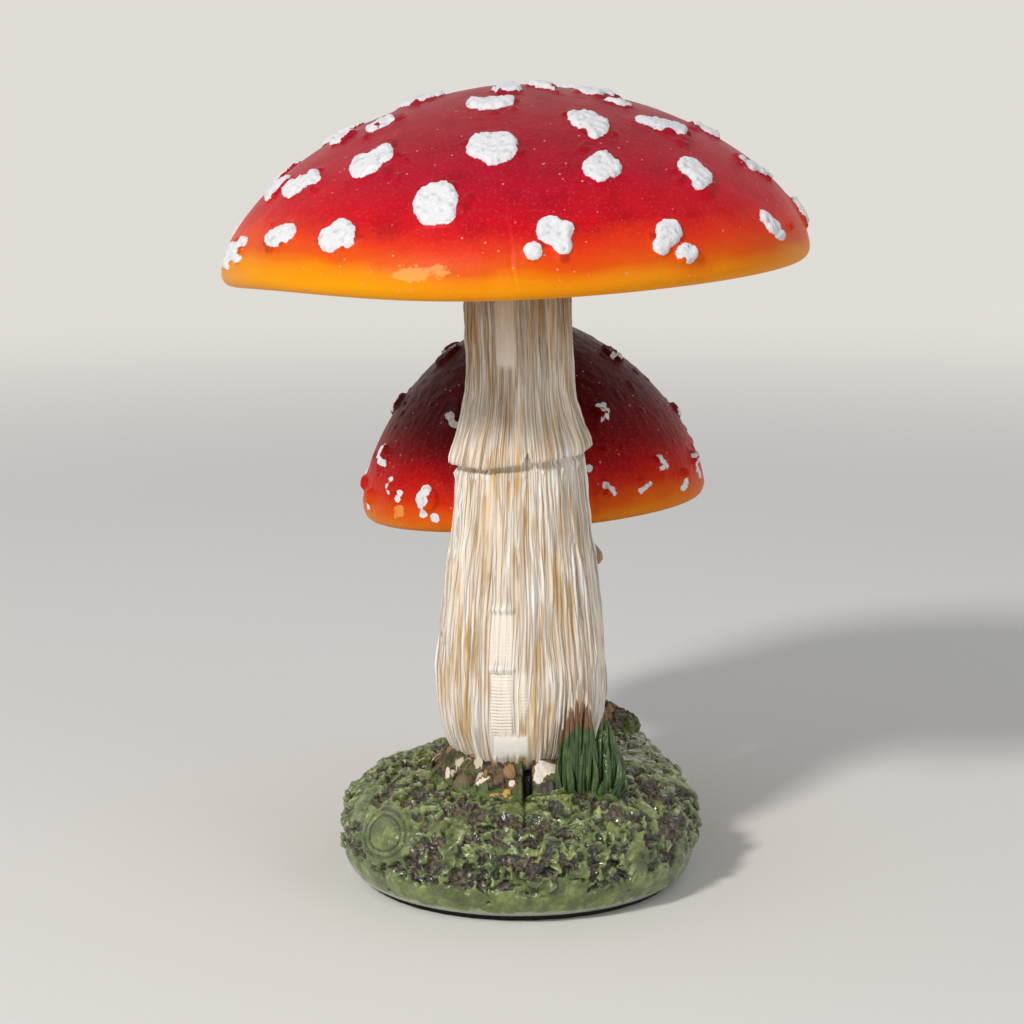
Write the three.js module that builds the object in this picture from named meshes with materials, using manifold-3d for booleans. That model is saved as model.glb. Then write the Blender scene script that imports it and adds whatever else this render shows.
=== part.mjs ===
// Toadstool garden ornament: a tall and a short toadstool of cast and painted resin, each glued and
// dowelled to one mossy base. Millimetres, Z up, the front is -Y and the ground is z = 0. The tall
// stem's foot stands on the Z axis.

import * as THREE from 'three';
import { mergeVertices } from 'three/addons/utils/BufferGeometryUtils.js';
import Module from 'manifold-3d';

const wasm = await Module();
wasm.setup();

// Facet counts
const domeRings = 8;
const baseSegments = 112;
const padSegments = 48;
const simplerBy = 0.03;

// Driving dimensions, in millimetres, or degrees where the name says so

// Glue line that stays between two pieces that meet
const glueGap = 0.3;

// Foam pad under the base
const padThickness = 0.8;
const padInset = 0.5;

// Mossy base: an egg-shaped bun with one round end under each toadstool
const baseHeight = 20.8;
const baseWaistHeight = 8.4;
const baseShoulder = 3;
const baseTuck = 4.2;
const frontLobeRadius = 33.6;
const frontLobeX = -0.4;
const rearLobeMargin = 5;
const rearLobeSetForward = 2.8;
const rearLobeSetLeft = 2.4;
const middleShare = 0.36;
const rearFall = 3;
const mossHump = 0.7;
const mossHumpSize = 15;
const mossClump = 0.75;
const mossClumpSize = 6.4;

// Round bare boss on the base's front left
const bossRadius = 4.3;
const bossProud = 0.5;
const bossGroove = 0.4;
const bossGrooveWidth = 0.45;
const bossRim = 0.5;
const bossHeight = 13.3;
const bossBearingDegrees = 221;

// Tall stem
const tallSpigotRadius = 9;
const tallSpigotDepth = 6;
const tallFootRadius = 16.3;
const tallFootHeight = 18;
const tallBulbHeight = 3.6;
const tallWaistRadius = 12;
const tallSkirtHeight = 62.3;
const tallSkirtRadius = 13.5;
const tallSkirtThickness = 0.9;
const tallSkirtFall = 13.5;
const tallSkirtTiltDegrees = 6;
const tallNeckRadius = 9.9;
const tallBendHeight = 80;
const tallNeckLength = 16.9;
const tallTenonRadius = 7.5;
const tallTenonLength = 5;
const tallFluteCount = 36;
const tallFluteDepth = 0.8;

// Tall cap
const tallCapRadius = 54.3;
const tallDomeHeight = 32.4;
const tallRimHeight = 1.4;
const tallLipWidth = 5.2;
const tallLipDrop = 0.5;
const tallCapTiltDegrees = 3.4;
const tallCapBackTiltDegrees = 1;
const tallGillCount = 48;
const tallGillDepth = 1.7;
const tallRimRise = 2.1;

// Short stem
const shortSeatDrop = 3;
const shortFootX = 10.2;
const shortSpigotRadius = 6.5;
const shortSpigotDepth = 5;
const shortFootRadius = 10.2;
const shortFootHeight = 12.5;
const shortBulbHeight = 2.8;
const shortWaistRadius = 8.4;
const shortSkirtHeight = 34.6;
const shortSkirtRadius = 12.9;
const shortSkirtThickness = 1.5;
const shortSkirtFall = 7;
const shortSkirtTiltDegrees = -4;
const shortNeckRadius = 7.4;
const shortBendX = -5.6;
const shortBendY = 4;
const shortBendHeight = 24;
const shortNeckLength = 22.8;
const shortTenonRadius = 5;
const shortTenonLength = 4;
const shortFluteCount = 20;
const shortFluteDepth = 0.6;

// Short cap, which stands just clear of the tall stem
const shortCapRadius = 34.9;
const shortDomeHeight = 36.4;
const shortRimHeight = 1.5;
const shortLipWidth = 4.4;
const shortLipDrop = 0.7;
const shortCapTiltDegrees = 4.5;
const shortCapBackTiltDegrees = 2.3;
const shortGillCount = 36;
const shortGillDepth = 1.4;
const shortRimRise = 0;
const neighbourGap = 0.8;

// Where a cap's rim curls up
const rimRiseBearingDegrees = 217;
const rimRiseSpreadDegrees = 34;

// Dome outlines: 2 is an ellipse, less is more pointed
const tallDomeFullness = 1.74;
const shortDomeFullness = 1.64;

// Warts
const wartHeight = 1.3;
const wartSink = 0.7;
const wartSides = 7;

// Litter collars round the stems' feet
const collarSink = 2.6;
const tallCollarRadius = 18.6;
const tallCollarHeight = 6.4;
const tallCollarEdge = 1.4;
const shortCollarRadius = 14;
const shortCollarHeight = 5;
const shortCollarEdge = 1.8;
const tallCollarUnder = 0;
const shortCollarUnder = 1.6;
const chipLength = 3.4;
const slitWidth = 1.3;
const slitX = 0.8;
const slitInner = 9;
const slitLength = 12;
const slitFloor = 2;

// Steel dowels
const capDowelRadius = 2;
const capDowelLength = 24;
const tallFootDowelRadius = 2.5;
const tallFootDowelLength = 20;
const shortCapDowelRadius = 1.5;
const shortCapDowelLength = 16;
const shortFootDowelRadius = 1.5;
const shortFootDowelLength = 15;
const footDowelInBase = 8;

// Grass tufts, round the tall stem's foot
const tuftDistance = 21;
const tuftRadius = 3.1;
const tuftRootDepth = 3.4;
const tuftCrown = 1.6;
const leftTuftBearingDegrees = -62;
const rightTuftBearingDegrees = -42.5;
const leftBladeHeight = 15.8;
const rightBladeHeight = 12.6;
const bladeRadius = 1.1;
const bladeTipRadius = 0.35;
const bladeLean = 0.24;

// Warts on the fronts of the caps: bearing round the cap's axis in degrees from +X (270 is the
// front), distance from the axis as a share of the cap's radius, size round the cap, size up it
const tallFrontWarts = [
  [190, 0.29, 6, 6.5], [261, 0.35, 9, 8], [272, 0.16, 7, 6], [325, 0.18, 5.5, 7], [333, 0.36, 6.5, 9],
  [197, 0.57, 6, 5], [211, 0.50, 6, 7.5], [231, 0.70, 7, 8.5], [266, 0.65, 9, 9.5], [299, 0.55, 7.5, 9],
  [326, 0.61, 8.5, 8], [352, 0.66, 6, 6], [197, 0.80, 7, 6], [211, 0.79, 8.5, 6.5], [254, 0.86, 8.5, 9],
  [293, 0.76, 7.5, 7.5], [316, 0.82, 7, 8.5], [343, 0.83, 8, 6.5], [200, 0.958, 7.5, 9],
  [218, 0.930, 6.5, 6], [234, 0.930, 8, 7], [277, 0.948, 8.5, 8], [301, 0.969, 8.5, 8],
  [329, 0.965, 6, 6.5], [357, 0.965, 6.5, 6.5],
];
const shortFrontWarts = [
  [200, 0.46, 5, 5], [341, 0.54, 5, 5.5], [180, 0.74, 4.5, 5], [237, 0.77, 4, 5.5], [301, 0.80, 3.5, 4.5],
  [3, 0.86, 4, 5], [202, 0.903, 5, 6], [319, 0.957, 3.5, 4.5], [289, 0.946, 3, 4], [233, 0.980, 6, 6.5],
  [215, 0.968, 3.4, 4], [199, 0.986, 4, 5], [295, 0.983, 3, 4.2], [309, 0.983, 3, 3], [331, 0.983, 3.5, 3.5],
  [346, 0.968, 4, 4], [184, 0.974, 4, 4.5],
];

// Rings of warts on the backs of the caps: distance from the axis as a share of the cap's radius,
// how many
const tallBackRings = [[0.33, 2], [0.57, 4], [0.78, 6], [0.95, 7]];
const shortBackRings = [[0.46, 2], [0.77, 4], [0.974, 6]];
const tallBackWartSize = 7.6;
const shortBackWartSize = 4.8;
const backFromDegrees = 12;
const backToDegrees = 182;

// Helpers

const radians = THREE.MathUtils.degToRad;
const { clamp, smoothstep } = THREE.MathUtils;

// A repeatable scattered value from 0 to 1 for a whole number.
function scatter(index) {
  const wave = Math.sin(index * 12.9898 + 4.1414) * 43758.5453;
  return wave - Math.floor(wave);
}

// Turns a profile, drawn upwards as (radius, height), about the Z axis.
function turned(profile, segments) {
  return new THREE.LatheGeometry(profile, segments).rotateX(Math.PI / 2);
}

// Moves each vertex to the place that its radius, angle and height give.
function sculpt(geometry, place) {
  const position = geometry.attributes.position;
  for (let i = 0; i < position.count; i += 1) {
    const x = position.getX(i);
    const y = position.getY(i);
    const moved = place(Math.hypot(x, y), Math.atan2(y, x), position.getZ(i));
    position.setXYZ(i, moved.x, moved.y, moved.z);
  }
  return geometry;
}

// The point at this radius, angle and height.
function polar(radius, angle, height) {
  return new THREE.Vector3(radius * Math.cos(angle), radius * Math.sin(angle), height);
}

// A closed geometry as a solid that can be cut and joined.
function solid(geometry) {
  const bare = geometry.clone();
  bare.deleteAttribute('normal');
  bare.deleteAttribute('uv');
  const merged = mergeVertices(bare);
  const index = merged.index.array;
  const corners = [];
  for (let i = 0; i < index.length; i += 3) {
    const [a, b, c] = index.slice(i, i + 3);
    if (a !== b && b !== c && c !== a) corners.push(a, b, c);
  }
  const vertProperties = new Float32Array(merged.attributes.position.array);
  const triVerts = new Uint32Array(corners);
  return new wasm.Manifold(new wasm.Mesh({ numProp: 3, vertProperties, triVerts }));
}

// A solid as a geometry, without the facets that lie flat on their neighbours.
function geometryOf(body) {
  const { vertProperties, triVerts } = body.asOriginal().simplify(simplerBy).getMesh();
  const geometry = new THREE.BufferGeometry();
  geometry.setAttribute('position', new THREE.BufferAttribute(vertProperties, 3));
  geometry.setIndex(new THREE.BufferAttribute(triVerts, 1));
  geometry.computeVertexNormals();
  return geometry;
}

// A round bar along Z from one height to another.
function bar(radius, low, high, sides = 24) {
  const geometry = new THREE.CylinderGeometry(radius, radius, high - low, sides);
  return solid(geometry.rotateX(Math.PI / 2).translate(0, 0, (low + high) / 2));
}

// The solid moved into a frame.
function inFrame(body, frame) {
  return body.transform(frame.elements);
}

// The frame that stands on a curve at this distance along it, with its Z along the curve. Past
// either end the curve goes on straight.
function frameAt(curve, distance) {
  const length = curve.getLength();
  const share = clamp(distance / length, 0, 1);
  const up = curve.getTangentAt(share);
  const side = new THREE.Vector3(1, 0, 0).addScaledVector(up, -up.x).normalize();
  const depth = new THREE.Vector3().crossVectors(up, side);
  const origin = curve.getPointAt(share).addScaledVector(up, distance - share * length);
  return new THREE.Matrix4().makeBasis(side, depth, up).setPosition(origin);
}

// The direction of a cap's axis: tilted to the left, and back from the viewer.
function capAxis(leftDegrees, backDegrees) {
  const left = Math.tan(radians(leftDegrees));
  const back = Math.tan(radians(backDegrees));
  return new THREE.Vector3(-left, back, 1).normalize();
}

// A stem's centre line, from its seat on the base through the bend to its shoulder under the cap.
function centreLine(bend, axis, neckLength) {
  const shoulder = bend.clone().addScaledVector(axis, neckLength);
  return new THREE.QuadraticBezierCurve3(new THREE.Vector3(), bend, shoulder);
}

function piece(name, geometry, color, roughness, metalness = 0) {
  const vertexColors = geometry.hasAttribute('color');
  const material = new THREE.MeshStandardMaterial({ color, roughness, metalness, vertexColors });
  const mesh = new THREE.Mesh(geometry, material);
  mesh.name = name;
  return mesh;
}

// Gives each vertex the paint that its place asks for.
function painted(geometry, paintAt) {
  const position = geometry.attributes.position;
  const colours = [];
  for (let i = 0; i < position.count; i += 1) {
    colours.push(...paintAt(new THREE.Vector3().fromBufferAttribute(position, i)).toArray());
  }
  geometry.setAttribute('color', new THREE.Float32BufferAttribute(colours, 3));
  return geometry;
}

// Stems

// Half section of a stem, heights from its seat: spigot, swollen foot, shaft, undercut, skirt, neck
// and tenon. grow moves the whole outline outwards.
function stemProfile(stem, grow = 0) {
  const undercut = stem.waistRadius - 0.5;
  const skirtLow = stem.skirtHeight;
  const skirtHigh = skirtLow + stem.skirtThickness;
  const neckLow = skirtHigh + stem.skirtFall;
  const rise = stem.footHeight - stem.bulbHeight;
  const shaft = skirtLow - 2 - stem.footHeight;
  const path = new THREE.Path();
  path.moveTo(0, -stem.spigotDepth - grow);
  path.lineTo(stem.spigotRadius + grow, -stem.spigotDepth - grow);
  path.lineTo(stem.spigotRadius + grow, stem.bulbHeight - grow);
  path.bezierCurveTo(
    stem.spigotRadius + (stem.footRadius - stem.spigotRadius) * 0.6 + grow, stem.bulbHeight - grow,
    stem.footRadius + grow, stem.bulbHeight + rise * 0.45,
    stem.footRadius + grow, stem.footHeight,
  );
  path.bezierCurveTo(
    stem.footRadius + grow, stem.footHeight + shaft * 0.25,
    stem.waistRadius + 0.8 + grow, skirtLow - shaft * 0.22,
    stem.waistRadius + grow, skirtLow - 2,
  );
  path.lineTo(undercut + grow, skirtLow - 0.9);
  path.lineTo(stem.skirtRadius + grow, skirtLow);
  path.lineTo(stem.skirtRadius + 0.1 + grow, skirtHigh);
  path.bezierCurveTo(
    stem.skirtRadius - 0.8 + grow, skirtHigh + stem.skirtFall * 0.3,
    stem.neckRadius + 0.5 + grow, skirtHigh + stem.skirtFall * 0.55,
    stem.neckRadius + 0.2 + grow, neckLow,
  );
  path.lineTo(stem.neckRadius + grow, stem.shoulder + grow);
  path.lineTo(stem.tenonRadius + grow, stem.shoulder + grow);
  path.lineTo(stem.tenonRadius + grow, stem.shoulder + stem.tenonLength + grow);
  path.lineTo(0, stem.shoulder + stem.tenonLength + grow);
  return path.getPoints(3);
}

// Radius of a profile at a height.
function radiusAt(profile, height) {
  const next = profile.findIndex((point) => point.y >= height && point.x > 0);
  const [low, high] = [profile[next - 1], profile[next]];
  const share = (height - low.y) / (high.y - low.y);
  return low.x + (high.x - low.x) * share;
}

// How strongly the flutes show at a height: none on the spigot and the tenon.
function fluteStrength(stem, height) {
  const low = smoothstep(height, stem.bulbHeight, stem.bulbHeight + 3);
  const high = 1 - smoothstep(height, stem.shoulder - 0.5, stem.shoulder - 0.1);
  return low * high;
}

// A stem's body, fluted, with its skirt hanging lower on one side, bent along its centre line.
function stemBody(stem) {
  const geometry = turned(stemProfile(stem), stem.flutes * 2);
  sculpt(geometry, (radius, angle, height) => {
    const strength = fluteStrength(stem, height);
    const ridge = Math.cos(stem.flutes * angle);
    const wander = 0.7 + 0.3 * Math.sin(5 * angle + height * 0.06);
    const fluted = radius + 0.5 * stem.fluteDepth * strength * wander * (ridge - 1);
    const nearSkirt = Math.exp(-(((height - stem.skirtHeight) / (stem.skirtFall * 0.8)) ** 2));
    const sag = Math.tan(radians(stem.skirtTilt)) * radius * Math.cos(angle) * nearSkirt;
    return polar(Math.max(fluted, 0), angle, 0)
      .applyMatrix4(frameAt(stem.line, height + sag * (radius > stem.tenonRadius ? 1 : 0)));
  });
  return solid(geometry);
}

// A plain stem grown by the glue gap, which cuts the room for the stem in its neighbours.
function stemRoom(stem) {
  const geometry = turned(stemProfile(stem, glueGap), 28);
  sculpt(geometry, (radius, angle, height) => {
    return polar(radius, angle, 0).applyMatrix4(frameAt(stem.line, height));
  });
  return solid(geometry);
}

// Both dowel holes of a stem are cut into its ends.
function stemSolid(stem) {
  const top = stem.shoulder + stem.tenonLength;
  const capHole = bar(stem.capDowel.radius + glueGap, -stem.capDowel.length / 2 - glueGap, 1);
  const footHole = bar(
    stem.footDowel.radius + glueGap,
    -1,
    stem.footDowel.length - footDowelInBase + glueGap,
  );
  return stemBody(stem)
    .subtract(inFrame(capHole, frameAt(stem.line, top)))
    .subtract(inFrame(footHole, frameAt(stem.line, -stem.spigotDepth)));
}

// Caps

// Point of the dome, seen from the middle of the rim's plane at this bearing and elevation, and
// lifted off its surface.
function domePoint(cap, bearing, elevation, lift) {
  const flat = (Math.cos(elevation) / cap.radius) ** cap.fullness;
  const steep = (Math.sin(elevation) / cap.domeHeight) ** cap.fullness;
  const reach = (flat + steep) ** (-1 / cap.fullness) + lift;
  return polar(reach * Math.cos(elevation), bearing, cap.rimHeight + reach * Math.sin(elevation));
}

// Elevation at which the dome is this far from the axis, as a share of the cap's radius.
function domeElevation(cap, share) {
  const rise = cap.domeHeight * (1 - share ** cap.fullness) ** (1 / cap.fullness);
  return Math.atan2(rise, share * cap.radius);
}

// Half section of a cap, heights from the gill plane: gills, rolled rim, dome.
function capProfile(cap) {
  const gillEnd = cap.radius - cap.lipWidth;
  const path = new THREE.Path();
  path.moveTo(0, 0);
  path.lineTo(gillEnd, 0);
  path.quadraticCurveTo(gillEnd + 1, -cap.lipDrop, cap.radius - cap.lipWidth * 0.45, -cap.lipDrop);
  path.quadraticCurveTo(cap.radius - 0.3, -cap.lipDrop, cap.radius, cap.rimHeight);
  const profile = path.getPoints(3);
  for (let ring = 1; ring <= domeRings; ring += 1) {
    const turn = (Math.PI / 2) * (ring / domeRings);
    const distance = ring === domeRings ? 0 : cap.radius * Math.cos(turn) ** (2 / cap.fullness);
    const rise = cap.domeHeight * Math.sin(turn) ** (2 / cap.fullness);
    profile.push(new THREE.Vector2(distance, cap.rimHeight + rise));
  }
  return profile;
}

// One wedge-shaped groove between two gills, narrow by the stem and wide by the rim.
function gillGroove(cap) {
  const inner = cap.neckRadius + 1.6;
  const outer = cap.radius - cap.lipWidth - 0.6;
  const wide = (share) => (2 * Math.PI * share / cap.gills) * 0.72 / 1.155;
  const groove = new THREE.CylinderGeometry(wide(outer), wide(inner), outer - inner, 3);
  groove.rotateZ(-Math.PI / 2).rotateX(-Math.PI / 2);
  groove.scale(1, 1, cap.gillDepth / wide(outer));
  return groove.translate((inner + outer) / 2, 0, 0);
}

// One craggy wart of irregular outline, bent to the dome and sunk a little into it.
function wartSolid(cap, [bearingDegrees, share, length, width], seed) {
  const profile = [[0, -wartSink], [1, -wartSink], [0.82, wartHeight], [0, wartHeight * 1.1]];
  const geometry = turned(profile.map(([r, z]) => new THREE.Vector2(r, z)), wartSides);
  const distance = share * cap.radius;
  const elevation = domeElevation(cap, share);
  sculpt(geometry, (radius, angle, height) => {
    const corner = Math.round((angle / (2 * Math.PI)) * wartSides + wartSides) % wartSides;
    const uneven = radius * (0.84 + 0.32 * scatter(seed * 31 + corner));
    const lift = height > 0 ? height * (0.8 + 0.4 * scatter(seed * 17 + corner * 5)) : height;
    const down = uneven * Math.cos(angle) * width / 2;
    const round = uneven * Math.sin(angle) * length / 2;
    const bearing = radians(bearingDegrees) + Math.atan2(round, distance + down * Math.sin(elevation));
    return domePoint(cap, bearing, elevation - down / Math.hypot(distance, cap.domeHeight * 0.5), lift);
  });
  return solid(geometry);
}

// Rings of warts scattered over the back of a cap, in the form of the lists of front warts.
function backWarts(rings, size) {
  return rings.flatMap(([share, count], ring) => {
    const step = (backToDegrees - backFromDegrees) / count;
    return Array.from({ length: count }, (_, i) => {
      const bearing = backFromDegrees + step * (i + 0.3 + 0.4 * scatter(i + ring * 9));
      const grow = 0.85 + 0.3 * scatter(i + ring * 7 + 50);
      return [bearing, share, size * grow, size * grow];
    });
  });
}

// How far the rim curls up at a bearing: all of the cap's low outer part goes with it.
function rimRise(cap, radius, bearingDegrees, height) {
  const off = ((bearingDegrees - rimRiseBearingDegrees + 540) % 360) - 180;
  const round = Math.exp(-((off / rimRiseSpreadDegrees) ** 2));
  const out = smoothstep(radius, cap.radius * 0.55, cap.radius * 0.97);
  return cap.rimRise * round * out * (1 - smoothstep(height, 1, cap.domeHeight * 0.45));
}

function capSolid(cap) {
  let body = solid(turned(capProfile(cap), cap.segments));
  const grooves = [];
  for (let i = 0; i < cap.gills; i += 1) {
    grooves.push(solid(gillGroove(cap).rotateZ((2 * Math.PI * i) / cap.gills)));
  }
  body = body.subtract(wasm.Manifold.union(grooves));
  const warts = cap.warts.map((wart, seed) => wartSolid(cap, wart, seed));
  body = body.add(wasm.Manifold.union(warts)).warp((point) => {
    const [x, y, z] = point;
    const bearing = THREE.MathUtils.radToDeg(Math.atan2(y, x));
    point[2] = z + rimRise(cap, Math.hypot(x, y), bearing, z);
  });
  const socket = bar(cap.tenonRadius + glueGap, -1, cap.tenonLength, 32);
  const top = cap.tenonLength + cap.dowel.length / 2;
  return body.subtract(socket).subtract(bar(cap.dowel.radius + glueGap, 1, top));
}

// Paint of a cap: cream gills, an orange rim that turns red and then dark towards the crown, and
// white on the warts.
function capPaint(cap) {
  const gills = new THREE.Color(0xe9dcc0);
  const wart = new THREE.Color(0xf4f2ee);
  const blend = [0xf09a18, 0xe2480f, 0xc4121a, cap.crownColor].map((hex) => new THREE.Color(hex));
  return (point) => {
    const distance = Math.hypot(point.x, point.y);
    if (point.z < cap.gillDepth + 0.1 && distance < cap.radius - cap.lipWidth) return gills;
    const rise = Math.max(point.z - cap.rimHeight, 0);
    const elevation = Math.atan2(rise, distance);
    const lift = Math.hypot(rise, distance) - domePoint(cap, 0, elevation, 0)
      .sub(new THREE.Vector3(0, 0, cap.rimHeight)).length();
    if (lift > wartHeight * 0.4) return wart;
    const share = clamp((rise / cap.domeHeight) * 3.4, 0, 2.999);
    const step = Math.floor(share);
    return blend[step].clone().lerp(blend[step + 1], share - step);
  };
}

// Base

// Distance from the base's middle to its outline at an angle: the outline is the hull of the two
// lobes, so the widest of the circles between them counts.
function baseReach(angle) {
  const towards = new THREE.Vector2(Math.cos(angle), Math.sin(angle));
  const steps = 32;
  let reach = 0;
  for (let i = 0; i <= steps; i += 1) {
    const share = i / steps;
    const centre = frontLobe.clone().lerp(rearLobe, share).sub(baseMiddle);
    const radius = frontLobeRadius + (rearLobeRadius - frontLobeRadius) * share;
    const near = towards.dot(centre);
    const inside = near * near - centre.lengthSq() + radius * radius;
    if (inside >= 0) reach = Math.max(reach, near + Math.sqrt(inside));
  }
  return reach;
}

// Half section of the base over a lobe of the front radius, heights from its underside.
function baseProfile() {
  const profile = [
    new THREE.Vector2(0, 0),
    new THREE.Vector2(frontLobeRadius - baseTuck, 0),
  ];
  const low = 5;
  for (let i = 1; i <= low; i += 1) {
    const turn = (Math.PI / 2) * (i / low);
    const radius = frontLobeRadius - baseTuck + baseTuck * Math.sin(turn);
    profile.push(new THREE.Vector2(radius, baseWaistHeight * (1 - Math.cos(turn))));
  }
  const high = 17;
  for (let i = 1; i <= high; i += 1) {
    const turn = (Math.PI / 2) * (i / high);
    const radius = i === high ? 0 : frontLobeRadius * Math.cos(turn) ** (2 / baseShoulder);
    const rise = (baseHeight - baseWaistHeight) * Math.sin(turn) ** (2 / baseShoulder);
    profile.push(new THREE.Vector2(radius, baseWaistHeight + rise));
  }
  return profile;
}

// Point of the base's smooth outline: the profile's radius is stretched to the egg-shaped plan, the
// side under the waist keeps its slope all round, and the top falls away to the rear lobe.
function basePoint(radius, angle, height) {
  const reach = baseReach(angle);
  const under = height < baseWaistHeight && radius > 0;
  const out = under ? reach - frontLobeRadius + radius : (radius / frontLobeRadius) * reach;
  const point = polar(out, angle, height);
  point.add(new THREE.Vector3(baseMiddle.x, baseMiddle.y, 0));
  const fall = rearFall * smoothstep(point.y, tallCollarRadius / 2, rearLobe.y);
  const high = Math.max(height - baseWaistHeight, 0) / (baseHeight - baseWaistHeight);
  point.z -= fall * high;
  return point;
}

// Rolling humps of the moss, at a point.
function mossHumps({ x, y, z }) {
  const wave = (2 * Math.PI) / mossHumpSize;
  const broad = Math.sin(wave * x + 1.1) * Math.cos(0.9 * wave * y - 0.6);
  const fine = 0.6 * Math.sin(wave * (1.9 * x - 1.7 * y + 2.1 * z));
  return mossHump * (broad + fine);
}

// Clumps of the moss, at a point: folds that cross each other and wander.
function mossClumps({ x, y, z }) {
  const wave = (2 * Math.PI) / mossClumpSize;
  const wander = 1.6 * Math.sin(0.3 * wave * (x + y - z));
  const across = Math.sin(wave * (0.9 * x + 0.4 * y + 0.25 * z) + wander);
  const along = Math.sin(wave * (0.9 * z - 0.5 * x + 0.6 * y) - wander);
  const between = Math.sin(wave * (0.8 * y - 0.7 * x - 0.5 * z) + 0.8 * wander + 1.3);
  return mossClump * (0.6 * across * along + 0.4 * between);
}

// The boss's frame: on the front lobe's side, facing out and a little up.
function bossFrame() {
  const bearing = radians(bossBearingDegrees);
  const rise = (bossHeight - baseWaistHeight) / (baseHeight - baseWaistHeight);
  const share = (1 - rise ** baseShoulder) ** (1 / baseShoulder);
  const fromMiddle = polar(frontLobeRadius, bearing, 0);
  fromMiddle.sub(new THREE.Vector3(baseMiddle.x, baseMiddle.y, 0));
  const place = basePoint(share * frontLobeRadius, Math.atan2(fromMiddle.y, fromMiddle.x), bossHeight);
  const up = polar(1, bearing, 0.16).normalize();
  const side = new THREE.Vector3(-Math.sin(bearing), Math.cos(bearing), 0);
  const depth = new THREE.Vector3().crossVectors(up, side);
  return new THREE.Matrix4().makeBasis(side, depth, up).setPosition(place);
}

// Bare round boss with a ring groove near its edge, along Z.
function bossSolid() {
  const grooveOut = bossRadius - bossRim;
  const grooveIn = grooveOut - bossGrooveWidth;
  const profile = [
    [0, -3], [bossRadius, -3], [bossRadius, bossProud], [grooveOut, bossProud],
    [grooveOut, bossProud - bossGroove], [grooveIn, bossProud - bossGroove],
    [grooveIn, bossProud], [0, bossProud],
  ];
  return solid(turned(profile.map(([r, z]) => new THREE.Vector2(r, z)), 28));
}

function mossBaseSolid() {
  const frame = bossFrame();
  const bossPlace = new THREE.Vector3().setFromMatrixPosition(frame);
  const geometry = turned(baseProfile(), baseSegments);
  sculpt(geometry, (radius, angle, height) => {
    const point = basePoint(radius, angle, height);
    const fromBoss = point.distanceTo(bossPlace);
    const swell = mossHumps(point) * smoothstep(height, 0, baseWaistHeight)
      * smoothstep(fromBoss, bossRadius, 3 * bossRadius)
      + mossClumps(point) * smoothstep(height, baseWaistHeight * 0.35, baseWaistHeight)
      * smoothstep(fromBoss, bossRadius, 2 * bossRadius);
    const side = Math.min(radius / frontLobeRadius, 1);
    return point.add(polar(swell * side, angle, swell * (1 - side)));
  });
  let body = solid(geometry).add(inFrame(bossSolid(), frame));
  body = body.translate([0, 0, baseUnderside]);
  for (const toadstool of [tall, short]) {
    const { stem, collar, place } = toadstool;
    const recess = bar(collar.radius + glueGap, -collar.under - glueGap, baseHeight, 28);
    const hole = bar(stem.footDowel.radius + glueGap, -footDowelInBase - glueGap, 1);
    const room = recess
      .add(stemRoom(stem))
      .add(inFrame(hole, frameAt(stem.line, -stem.spigotDepth)));
    body = body.subtract(room.translate(place.toArray()));
  }
  return body.subtract(tuftRoom(leftTuft)).subtract(tuftRoom(rightTuft));
}

// Pad of the base's plan, drawn in from the underside's edge.
function basePadSolid() {
  const profile = [[0, 0], [1, 0], [1, padThickness], [0, padThickness]];
  const geometry = turned(profile.map(([r, z]) => new THREE.Vector2(r, z)), padSegments);
  sculpt(geometry, (radius, angle, height) => {
    const point = polar(radius * (baseReach(angle) - baseTuck - padInset), angle, height);
    return point.add(new THREE.Vector3(baseMiddle.x, baseMiddle.y, 0));
  });
  return solid(geometry);
}

// Litter collars

// Collar of litter banked up against a stem's foot, with bark chips on its slope.
function collarSolid(toadstool) {
  const { stem, collar } = toadstool;
  const crest = stem.footRadius * 0.8;
  const profile = [
    [0, -collar.under], [collar.radius, -collar.under], [collar.radius, collar.edge],
    [(collar.radius + crest) / 2, (collar.edge + collar.height) / 2 - 0.3],
    [crest, collar.height], [0, collar.height],
  ];
  const geometry = turned(profile.map(([r, z]) => new THREE.Vector2(r, z)), 28);
  sculpt(geometry, (radius, angle, height) => {
    const rough = 0.45 * Math.sin(7 * angle + radius) + 0.35 * Math.sin(11 * angle - 2 * radius);
    return polar(radius, angle, height > 0 ? height + rough * smoothstep(radius, 2, crest) : 0);
  });
  let body = solid(geometry);
  const chips = [];
  for (let i = 0; i < collar.chips; i += 1) {
    const angle = (2 * Math.PI * (i + 0.7 * scatter(i))) / collar.chips;
    const share = 0.2 + 0.6 * scatter(i + 40);
    const radius = crest + (collar.radius - crest) * share;
    const height = collar.height + (collar.edge - collar.height) * share;
    const chip = new THREE.BoxGeometry(chipLength, chipLength * 0.55, 1.1);
    chip.rotateX(1.4 * (scatter(i + 7) - 0.5)).rotateY(1.2 * scatter(i + 19));
    chip.rotateZ(6 * scatter(i + 3)).translate(radius, 0, height).rotateZ(angle);
    chips.push(solid(chip));
  }
  body = body.add(wasm.Manifold.union(chips));
  body = body.intersect(bar(collar.radius, -collar.under, collar.height + 4, 28));
  return body.subtract(stemRoom(stem));
}

// Grass tufts

// Where a tuft's root stands, from the tall stem's seat.
function tuftPlace(tuft) {
  return polar(tuftDistance, radians(tuft.bearing), 0).add(tall.place);
}

// Room for a tuft in the moss and the litter.
function tuftRoom(tuft) {
  const top = tuftRootDepth + tuft.bladeHeight;
  return bar(tuftRadius + glueGap, -glueGap, top).translate(tuftPlace(tuft).toArray());
}

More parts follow.
